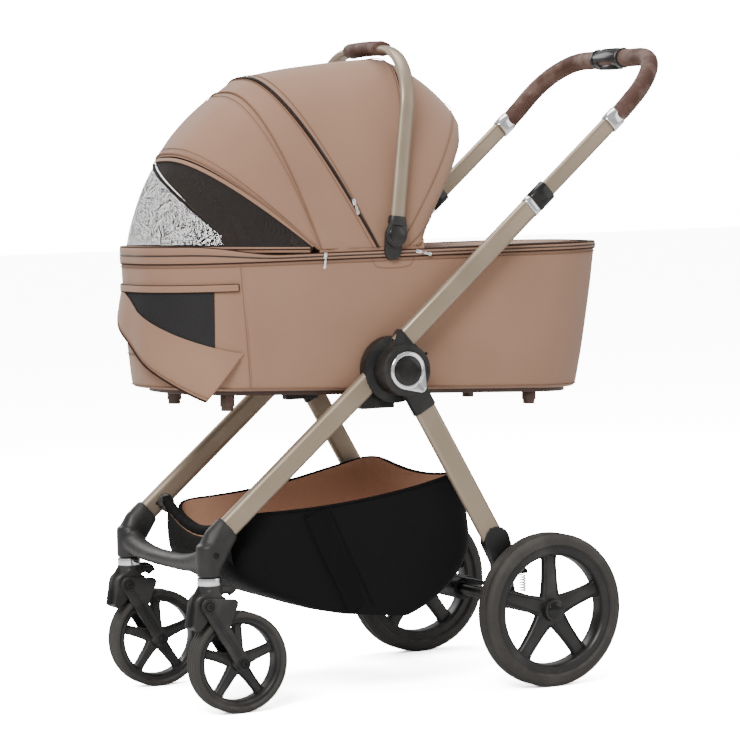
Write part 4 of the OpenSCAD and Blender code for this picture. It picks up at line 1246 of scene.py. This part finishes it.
class MakeWindow(bpy.types.Operator):
    """Build the front window net, its zipped cover strip and the flap let down from it"""

    bl_idname = "stroller.make_window"
    bl_label = "Front window and flap"

    def execute(self, context):
        shape = Shape()
        rows = []
        for i in range(16):
            row = []
            for j in range(61):
                s = -194 + 388 * j / 60
                hem = min(736, 624 + 118 * (max(0, s + 247) / 389 * 1.26) ** 1.3)
                z = mix(742, hem, i / 15)
                p, n = wall_at(z, s)
                row.append(p + n * (bulge((z - 560) / 230, s, *p) + 1.0))
            rows.append(row)
        shape.cloth(rows, 1.2, inner=0)
        shape.make("window_net", ["Window net"], "carrycot", "net")
        shape = Shape()
        strip, line_a, line_b, ups = [], [], [], []
        for j in range(71):
            s = -236 + 472 * j / 70
            p, n = wall_at(746, s)
            strip.append(p + n * (3.0 + bulge(0.8, s, p.x, p.y, p.z)))
            ups.append(n)
            line_a.append(strip[-1] + n * 0.6 + Vector((0, 0, 6.4)))
            line_b.append(strip[-1] + n * 0.6 - Vector((0, 0, 6.0)))
        shape.sweep(strip, oval(6.4, 1.7, 16, 3), ups)
        shape.bead(line_a, 0.75, ups, mat=1)
        shape.bead(line_b, 0.9, ups, mat=1)
        for end in (0, -1):
            shape.bead([line_a[end], strip[end] + ups[end] * 1.4, line_b[end]], 1.2, ups[end], mat=1)
        shape.make("window_cover_strip", ["Cot cloth", "Dark piping"], "carrycot", "cot_fabric")
        self.flap()
        return {"FINISHED"}

    def flap(self):
        def point(t, k):
            hung, free = min(744, 630 + 118 * (k * 1.26) ** 1.3), 548 + 182 * k ** 1.08
            s, z = mix(mix(-244, -174, t), 142, k), mix(hung, free, t)
            near, n0 = wall_at(z, s)
            near = near + n0 * (3.4 + bulge((z - 560) / 230, s, near.x, near.y, near.z))
            far, n1 = wall(1, s, 7.0 + 3.5 * math.sin(math.pi * k))
            far = Vector((far.x, far.y, z))
            hang = ease(t * 1.15) ** 0.8
            fold = 1.6 * math.sin(k * 17 + t * 2.2) * t * math.sin(math.pi * k)
            fold += 1.2 * ripple(s, z, 0, 60) * t
            return near * (1 - hang) + far * hang + n1 * fold

        shape = Shape()
        rows = [[point(i / 18, j / 72) for j in range(73)] for i in range(19)]
        # The flap's inner face takes the darkened cloth: painted shade.
        shape.cloth(rows, 1.3, inner=1)
        flap = shape.make("window_flap", ["Cot cloth", "Cot lining"], "carrycot", "cot_fabric",
                          ["cot_flap"], 60)
        shape = Shape()
        edge = rows[-1][::-1] + [row[0] for row in rows[-2:1:-1]]
        outs = [Vector((p.x + 391, p.y, 0)).normalized() for p in edge]
        shape.bead([p + Vector((0, 0, 0.3)) for p in edge[:73]], 2.0, outs[:73], n=8)
        inner = [p + (rows[-3][72 - i] - p) * 0.62 + outs[i] * 1.1 for i, p in enumerate(edge[:73])]
        shape.bead(inner, 0.8, outs[:73], mat=1)
        shape.bead([p + outs[i + 72] * 0.4 for i, p in enumerate(edge[72:])], 0.9, outs[72:], mat=1)
        shape.make("flap_piping", ["Dark piping", "Cloth piping"], "carrycot", "cot_fabric")


class MakeBedding(bpy.types.Operator):
    """Build the apron and the mattress"""

    bl_idname = "stroller.make_bedding"
    bl_label = "Apron and mattress"

    def execute(self, context):
        front, side_in = -86.0, 12.6
        rows = []
        edge = []
        s0, s1 = s_of(front), s_of(front, 1)
        n = 90
        for j in range(n + 1):
            f = j / n
            s = s0 - (ROUND + s0) * f * 2 if f <= 0.5 else s1 + (ROUND - s1) * (1 - f) * 2
            p = wall(1, s, -side_in)[0]
            edge.append(Vector((p.x, p.y, 0)))
        for i in range(15):
            f = i / 14
            row = []
            for p in edge:
                heart = Vector((clamp(p.x, front, 250), 0, 0))
                q = p.lerp(heart, f * 0.999)
                h = 4.6 * (1 - (1 - f) ** 2.4) + 0.8 * ripple(q.x, q.y, 0, 80) * f
                row.append(Vector((q.x, q.y, 799.6 + h)))
            rows.append(row)
        shape = Shape()
        # The apron's inner face takes the darkened cloth: painted shade.
        shape.cloth(rows, 1.6, inner=1)
        apron = shape.make("apron_sheet", ["Cot cloth", "Cot lining"], "apron", "cot_fabric",
                           ["cot_apron"], 60)
        shape = Shape()
        lift = Vector((0, 0, 801.6))
        line = [p + lift for p in edge]
        shape.bead(line, 1.3, (0, 0, 1), n=7)
        tape = [Vector((p.x * 0.9 + 12, p.y * 0.93, 1.2)) + lift for p in edge]
        shape.bead(tape, 0.7, (0, 0, 1), mat=1)
        shape.bead([Vector((front, -158 + 316 * i / 20, 801.4 + 4.2 * (1 - (i / 10 - 1) ** 2)))
                    for i in range(21)], 2.2, (0, 0, 1), mat=1, n=8)
        shape.make("apron_zip", ["Zip teeth", "Cloth piping"], "apron", "cot_fabric")
        low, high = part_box("cot_mattress")
        c = (low + high) * 500
        cx, cy = c.x - SHIFT, c.y
        half_x, half_y = (high.x - low.x) * 500 - 7, (high.y - low.y) * 500 - 7
        shape = Shape()
        rows = []
        for inset, h in ((26, 26), (8, 26), (1, 30), (0, 38), (1, 46), (8, 51), (26, 52)):
            row = []
            for i in range(96):
                a = 2 * math.pi * i / 96
                e = 2 / 3.4
                x = (half_x - inset) * math.copysign(abs(math.cos(a)) ** e, math.cos(a))
                y = (half_y - inset) * math.copysign(abs(math.sin(a)) ** e, math.sin(a))
                row.append(Vector((cx + x, cy + y, cot_floor(cx + x) + h)))
            rows.append(row)
        shape.grid(rows, wrap=True, ends=True)
        pad = shape.make("mattress", ["Mattress cloth"], "carrycot", "lining", ["cot_mattress"], 70)
        puff(pad, 0.006, 4, looks().padding)
        shape = Shape()
        for h in (30, 47):
            line = []
            for i in range(120):
                a = 2 * math.pi * i / 120
                e = 2 / 3.4
                x = (half_x + 1) * math.copysign(abs(math.cos(a)) ** e, math.cos(a))
                y = (half_y + 1) * math.copysign(abs(math.sin(a)) ** e, math.sin(a))
                line.append(Vector((cx + x, cy + y, cot_floor(cx + x) + h)))
            shape.bead(line, 2.0, (0, 0, 1), loop=True)
        shape.make("mattress_piping", ["Cloth piping"], "carrycot", "lining")
        return {"FINISHED"}


class MakeHood(bpy.types.Operator):
    """Build the hood's panels, seams, bow, net and gussets"""

    bl_idname = "stroller.make_hood"
    bl_label = "Hood"

    def panel(self, name, start, end, steps, body, node, flat, area, sag=0.0, folds=0.0):
        rows = []
        for i in range(steps + 1):
            f = i / steps
            u = mix(start, end, f)
            s = hood_station(u)
            heart = Vector((s[0], 0, s[1]))
            row = []
            for j in range(81):
                turn = 2 * j / 80 - 1
                p = hood_point(u, turn)
                low = max(0.0, math.cos(turn * math.pi / 2))
                out = (p - heart).normalized()
                dip = sag * math.sin(math.pi * f) * low ** 0.6
                gather = folds * math.sin(f * 21 + 1.3 * math.copysign(1, turn)) * math.exp(-low / 0.2)
                move = 1.0 * ripple(p.x, p.y, p.z, 85) * low - dip + gather * math.sin(math.pi * f)
                row.append(p + out * (move - 0.4))
            rows.append(row)
        shape = Shape()
        # The hood panel's inside takes the darkened cloth: painted shade.
        shape.cloth(rows, 2.0, inner=1)
        piece = shape.make(name, ["Cot cloth", "Cot lining"], body, "cot_fabric", [node], 60)
        return rows

    def seam(self, shape, u, r, mat=0, shift=0.0, low=1.0, lift=0.4):
        line, outs = hood_line(u, -lift, 72, low)
        line = [p + Vector((shift, 0, 0)) for p in line]
        shape.bead(line, r, outs, mat=mat, n=7)
        return line, outs

    def execute(self, context):
        self.panel("hood_back_cloth", -1, -0.03, 26, "carrycot", "hood_rear", (0.95, 0.36), 0.17, 1.5)
        self.panel("hood_main_cloth", -0.02, 0.99, 24, "carry_handle", "hood_main", (0.95, 0.27), 0.15, 3.0)
        self.panel("hood_visor_cloth", 1.01, 3, 30, "hood_front", "hood_visor", (0.85, 0.24), 0.135, 1.2, 1.6)
        shape = Shape()
        line, outs = self.seam(shape, 0.985, 1.7, 1)
        for i in (4, -5):
            zip_pull(shape, line[i] + outs[i] * 2, outs[i], (0.35, 0, -1), 2)
        self.seam(shape, 0.935, 0.7, 0)
        self.seam(shape, -0.01, 0.9, 0)
        shape.make("hood_seams_carry_handle", ["Cloth piping", "Zip teeth", "Chrome"], "carry_handle",
                   "cot_fabric")
        shape = Shape()
        self.seam(shape, 1.02, 1.6, 1)
        self.seam(shape, 1.1, 0.7, 0)
        self.seam(shape, 2.0, 1.7, 0)
        self.seam(shape, 2.08, 0.6, 0)
        self.seam(shape, 2.97, 2.2, 0)
        self.seam(shape, 2.9, 0.6, 0)
        shape.make("hood_seams_hood_front", ["Cloth piping", "Dark piping"], "hood_front", "cot_fabric")
        shape = Shape()
        for u in (-0.34, -0.68):
            self.seam(shape, u, 0.7, 0)
        self.seam(shape, -0.99, 1.8, 0)
        shape.make("hood_seams_carrycot", ["Cloth piping"], "carrycot", "cot_fabric")
        shape = Shape()
        for side in (-1, 1):
            skirt = []
            for h in (9, 4, 0, -6):
                row = []
                for j in range(61):
                    x = mix(-254, -44, j / 60)
                    row.append(Vector((x, side * (169.5 + 0.8 * math.sin(x / 7) + (1.5 if h < 0 else 0)),
                                       808 + h)))
                skirt.append(row)
            # The skirt's inner face takes the darkened cloth: painted shade.
            shape.cloth(skirt if side > 0 else [row[::-1] for row in skirt], 1.6, inner=1)
        shape.make("hood_skirt", ["Cot cloth", "Cot lining"], "carrycot", "cot_fabric", (), 60)
        shape = Shape()
        line, outs = hood_line(0.955, 5.2, 60, 0.98)
        shape.sweep(line, oval(7, 1.4, 12, 3), outs)
        shape.make("hood_bow_strip", ["Dark steel"], "hood_middle", "black_plastic", ["hood_bow"])
        self.net()
        self.gussets()
        return {"FINISHED"}

    def net(self):
        rows = []
        for i in range(23):
            f = i / 22
            u = mix(3.02, 4, f)
            row = []
            for j in range(81):
                p = hood_point(u, (2 * j / 80 - 1) * 0.995)
                s = hood_station(u)
                out = (p - Vector((s[0], 0, s[1]))).normalized()
                slack = math.sin(math.pi * f) * max(0, math.cos((j / 40 - 1) * 1.57)) ** 0.5
                row.append(p - out * (2 + 5 * slack) + out * 1.2 * ripple(p.x, p.y, p.z, 55))
            rows.append(row)
        shape = Shape()
        shape.grid(rows)
        net = shape.make("hood_front_net", ["Hood net"], "hood_front", "net", ["hood_net"], 60)
        shape = Shape()
        line, outs = hood_line(3.99, 0.5, 72, 0.99)
        shape.sweep([p + Vector((0, 0, -1)) for p in line], oval(5, 1.6, 14, 3), outs)
        line, outs = hood_line(3.995, -1.0, 72, 0.99)
        shape.bead(line, 1.3, outs, mat=1)
        line, outs = hood_line(3.04, 0.6, 72, 0.99)
        shape.sweep(line, oval(3.5, 1.0, 14, 3), outs)
        shape.make("net_binding", ["Cot cloth", "Dark piping"], "hood_front", "cot_fabric")

    def gussets(self):
        shape = Shape()
        for side in (-1, 1):
            rows = []
            for i in range(9):
                f = i / 8
                row = []
                for j in range(15):
                    g = j / 14
                    x = mix(-296, -246, g) + 4 * math.sin(f * 5)
                    tall = mix(20, 62, math.sin(math.pi * g) ** 0.7)
                    y = side * (148 + 7 * math.sin(g * 12 + f * 3) * (1 - f * 0.5))
                    row.append(Vector((x, y, 804 + tall * f)))
                rows.append(row)
            shape.cloth(rows, 1.4, inner=0)
            black = [[Vector((mix(-248, -212, g) - 8 * f, side * (160 + 1.5 * math.sin(g * 9)),
                              806 + f * mix(46, 12, g))) for g in [k / 8 for k in range(9)]]
                     for f in [k / 6 for k in range(7)]]
            shape.cloth(black, 1.2, mat=1, inner=1)
        shape.make("hood_gussets", ["Cot cloth", "Black webbing"], "hood_front", "cot_fabric", (), 60)


class MakeBasket(bpy.types.Operator):
    """Build the hung basket, its lining, bindings, strap and front rail"""

    bl_idname = "stroller.make_basket"
    bl_label = "Basket"

    LEVELS = ((-240, -96, 156, 142), (-302, -44, 172, 164), (-402, 12, 216, 208), (-435, 40, 250, 260),
              (-416, 36, 290, 328), (-413, 30, 343, 402))

    def point(self, k, along, across, inset=0.0):
        """One point of the bag: k from its bottom to its top edge, along and across from -1 to 1."""
        i = min(int(k), 4)
        x0, x1, z0, z1 = (spline_value([row[c] for row in self.LEVELS], i, k - i) for c in range(4))
        share = (along + 1) / 2
        x = mix(x0 + inset, x1 - inset, share)
        half = mix(158, 196, clamp((x + 412) / 330)) - inset
        side = math.sin(math.pi * clamp(k / 5))
        y = across * half * (1 - 0.03 * math.sin(share * 9.5) * side)
        sway = 2.4 * side * ripple(x, y, k * 40, 120)
        middle_of = 1 - across * across
        dip = (36 * max(0.0, 1 - 9 * share) + 24 * max(0.0, 6 * share - 5)) * middle_of * clamp(k - 4)
        hang = 15 * math.sin(math.pi * share) * clamp(k - 4) * (1 - middle_of) ** 2
        return Vector((x, y, mix(z0, z1, share) - dip - hang + sway))

    def level(self, k, inset=0.0):
        """One ring of the bag."""
        ring = []
        for q in range(160):
            edge, f = divmod(q / 40, 1)
            along, across = ((1, 2 * f - 1), (1 - 2 * f, 1), (-1, 1 - 2 * f), (2 * f - 1, -1))[int(edge)]
            size = (abs(along) ** 9 + abs(across) ** 9) ** (1 / 9)
            ring.append(self.point(k, along / size, across / size, inset))
        return ring

    def beside(self, k, x, side, out):
        """The point of the bag's side at x, a little outside the cloth."""
        i = min(int(k), 4)
        x0, x1 = (spline_value([row[c] for row in self.LEVELS], i, k - i) for c in range(2))
        along = 2 * clamp((x - x0) / (x1 - x0), 0.02, 0.98) - 1
        return self.point(k, along, side * (1 - abs(along) ** 9) ** (1 / 9)) + Vector((0, side * out, 0))

    def execute(self, context):
        levels = [k * 0.25 for k in range(21)]
        rows = [self.level(k) for k in levels]
        under = [self.level(k, 3.0) for k in levels]
        for row in under[:-1]:
            for p in row:
                p.z += 3
        shape = Shape()
        shape.grid(rows, wrap=True)
        shape.grid(under, wrap=True, mat=1)
        shape.grid([rows[-1], under[-1]], wrap=True, mat=2)
        n = len(rows[0])
        for row, mat in ((rows[0], 0), (under[0], 1)):
            shape.grid([[p.lerp(sum(row, Vector()) / n, f) for p in row] for f in (0, 0.3, 0.6, 0.9, 0.99)],
                       wrap=True, mat=mat)
            centre = len(shape.points) - n
            shape.faces.append(tuple(range(centre, centre + n)))
            shape.finish.append(mat)
        bag = shape.make("basket_bag", ["Basket cloth", "Basket lining", "Black webbing"], "chassis",
                         "basket_fabric", ["basket"], 60)
        shape = Shape()
        shape.sweep(rows[-1], oval(3.4, 2.6, 12), (0, 0, 1), loop=True)
        for side in (-1, 1):
            for edge in (-24, 24):
                line = [self.beside(k, edge - 280 + (5 - k) * 20, side, 1.6) for k in levels[4:20]]
                shape.bead(line, 0.9, (1, 0, 0), mat=1)
            strap = [self.beside(k, -280 + (5 - k) * 20, side, 1.2) for k in levels[4:20]]
            shape.sweep(strap, oval(25, 1.3, 16, 4), (0, side, 0), mat=1)
        shape.make("basket_binding", ["Black webbing", "Black webbing"], "chassis", "basket_fabric")
        self.front()
        return {"FINISHED"}

    def front(self):
        shape = Shape()
        rail = []
        for i in range(61):
            t = i / 30 - 1
            rail.append(Vector((-424 - 1.5 * (1 - t * t), 157 * t, 305 + 42 * t * t)))
        sizes = [1 + 0.03 * math.sin(i * 1.3) for i in range(61)]
        shape.sweep(rail, circle(9.4, 20), (0, 0, 1), sizes=sizes)
        pad = shape.make("rail_pad", ["Black webbing"], "chassis", "basket_fabric", ["basket_rail"], 60)
        shape = Shape()
        shape.bead([p + Vector((-3, 0, -9.5)) for p in rail[3:-3]], 1.8, (0, 0, 1), n=8)
        cloth = []
        for i in range(12):
            f = i / 11
            sag = 3 * math.sin(math.pi * f)
            cloth.append([Vector((mix(p.x - 3, -436 + 14 * f, f) - sag, p.y * mix(1, 0.98, f),
                                  mix(p.z - 10, 250, ease(f)))) for p in rail[3:-3]])
        shape.cloth(cloth, 1.2, mat=1, inner=1)
        shape.make("basket_front", ["Basket lining", "Basket front cloth"], "chassis", "basket_fabric",
                   (), 60)
        shape = Shape()
        for side in (-1, 1):
            centre = Vector((-423, side * 163, 342))
            profile = [(0.01, -8), (9, -8), (14, -5), (16.2, 0), (15, 5.5), (10.5, 9.8), (0.01, 11.6)]
            shape.turned(centre, [(r, h * -side) for r, h in profile], 36)
            shape.sweep([centre + Vector((0, 0, -2)), centre + Vector((-2, -side * 8, -10)),
                         rail[0 if side < 0 else -1] + Vector((0, -side * 3, -3))], circle(9, 16), (0, 1, 0),
                        sizes=[1, 1, 0.9])
        shape.make("rail_knobs", ["Gloss black"], "chassis", "black_plastic")


def spline_value(values, i, f):
    """Smooth value between the stations i and i + 1."""
    n = len(values)
    p0, p1, p2, p3 = (values[max(0, min(n - 1, i + k))] for k in (-1, 0, 1, 2))
    return 0.5 * (2 * p1 + (p2 - p0) * f + (2 * p0 - 5 * p1 + 4 * p2 - p3) * f * f
                  + (3 * p1 - p0 - 3 * p2 + p3) * f ** 3)


class MakeStage(bpy.types.Operator):
    """Build the studio floor, the lights and the camera"""

    bl_idname = "stroller.make_stage"
    bl_label = "Stage"

    def execute(self, context):
        scene = context.scene
        size = looks().floor_size / 2
        mesh = bpy.data.meshes.new("studio_floor")
        mesh.from_pydata([(-size, -size, 0), (size, -size, 0), (size, size, 0), (-size, size, 0)], [],
                         [(0, 1, 2, 3)])
        floor = bpy.data.objects.new("studio_floor", mesh)
        scene.collection.objects.link(floor)
        paint = bpy.data.materials.new("Studio floor")
        paint.use_nodes = True
        shade = paint.node_tree.nodes["Principled BSDF"]
        w = Wires(paint.node_tree)
        seen = w.node("LightPath")
        tone = w.blend(seen.outputs["Is Camera Ray"], (0.8, 0.795, 0.79, 1), (22.0, 21.9, 21.8, 1))
        w.feed(shade.inputs["Base Color"], tone)
        shade.inputs["Roughness"].default_value = 0.6
        mesh.materials.append(paint)
        world = bpy.data.worlds.new("Studio")
        scene.world = world
        world.use_nodes = True
        w = Wires(world.node_tree)
        back = world.node_tree.nodes["Background"]
        bright = w.node("Background")
        bright.inputs["Color"].default_value = (1.0, 1.0, 1.0, 1)
        bright.inputs["Strength"].default_value = 16.0
        seen = w.node("LightPath")
        either = w.node("MixShader")
        w.feed(either.inputs[0], seen.outputs["Is Camera Ray"])
        w.feed(either.inputs[1], back.outputs["Background"])
        w.feed(either.inputs[2], bright.outputs["Background"])
        w.feed(world.node_tree.nodes["World Output"].inputs["Surface"], either.outputs["Shader"])
        back.inputs["Color"].default_value = (1.0, 0.995, 0.99, 1)
        back.inputs["Strength"].default_value = 0.62
        for name, place, aim, power, width in (
                ("Key", (-2.9, -3.2, 3.4), (0, 0, 0.6), 215, 1.8),
                ("Fill", (3.4, -2.8, 2.0), (0, 0, 0.6), 26, 2.6),
                ("Top", (0.2, 0.4, 4.0), (0, 0, 0.5), 90, 2.4),
                ("Rim", (-1.0, 3.6, 2.6), (0, 0, 0.8), 50, 2.0)):
            lamp = bpy.data.lights.new(name, "AREA")
            lamp.energy = power
            lamp.size = width
            light = bpy.data.objects.new(name, lamp)
            scene.collection.objects.link(light)
            light.location = place
            light.rotation_mode = "QUATERNION"
            light.rotation_quaternion = (Vector(aim) - Vector(place)).to_track_quat("-Z", "Y")
        yaw, pitch, roll = (math.radians(a) for a in (26.768, 3.797, -1.550))
        d = Vector((math.sin(yaw) * math.cos(pitch), math.cos(yaw) * math.cos(pitch), -math.sin(pitch)))
        r = Vector((math.cos(yaw), -math.sin(yaw), 0))
        u = r.cross(d)
        right = r * math.cos(roll) + u * math.sin(roll)
        up = u * math.cos(roll) - r * math.sin(roll)
        lens = bpy.data.cameras.new("Camera")
        lens.sensor_width = 36
        lens.lens = 152.6
        camera = bpy.data.objects.new("Camera", lens)
        scene.collection.objects.link(camera)
        rotation = Matrix((right, up, -d)).transposed()
        camera.matrix_world = Matrix.Translation((-2.6817, -5.2403, 0.9562)) @ rotation.to_4x4()
        lens.clip_end = 200
        scene.camera = camera
        return {"FINISHED"}


STEPS = (FinishFrame, MakeWheels, MakeCasters, MakeHub, MakeGrip, MakeArch, MakeCot, MakeWindow,
         MakeBedding, MakeHood, MakeBasket, MakeStage)


class StrollerPanel(bpy.types.Panel):
    """Lists the stroller's settings and steps"""

    bl_idname = "VIEW3D_PT_stroller"
    bl_label = "Pet stroller"
    bl_space_type = "VIEW_3D"
    bl_region_type = "UI"
    bl_category = "Stroller"

    def draw(self, context):
        for name in StrollerLooks.__annotations__:
            self.layout.prop(looks(), name)
        for step in STEPS:
            self.layout.operator(step.bl_idname)


CLASSES = (StrollerLooks, *STEPS, StrollerPanel)


def register():
    for cls in CLASSES:
        bpy.utils.register_class(cls)
    bpy.types.Scene.stroller_looks = bpy.props.PointerProperty(type=StrollerLooks)


def unregister():
    del bpy.types.Scene.stroller_looks
    for cls in reversed(CLASSES):
        bpy.utils.unregister_class(cls)


def main():
    register()
    for step in STEPS:
        family, call = step.bl_idname.split(".")
        if getattr(getattr(bpy.ops, family), call)() != {"FINISHED"}:
            raise RuntimeError(step.bl_label + " did not finish")


if __name__ == "__main__":
    main()
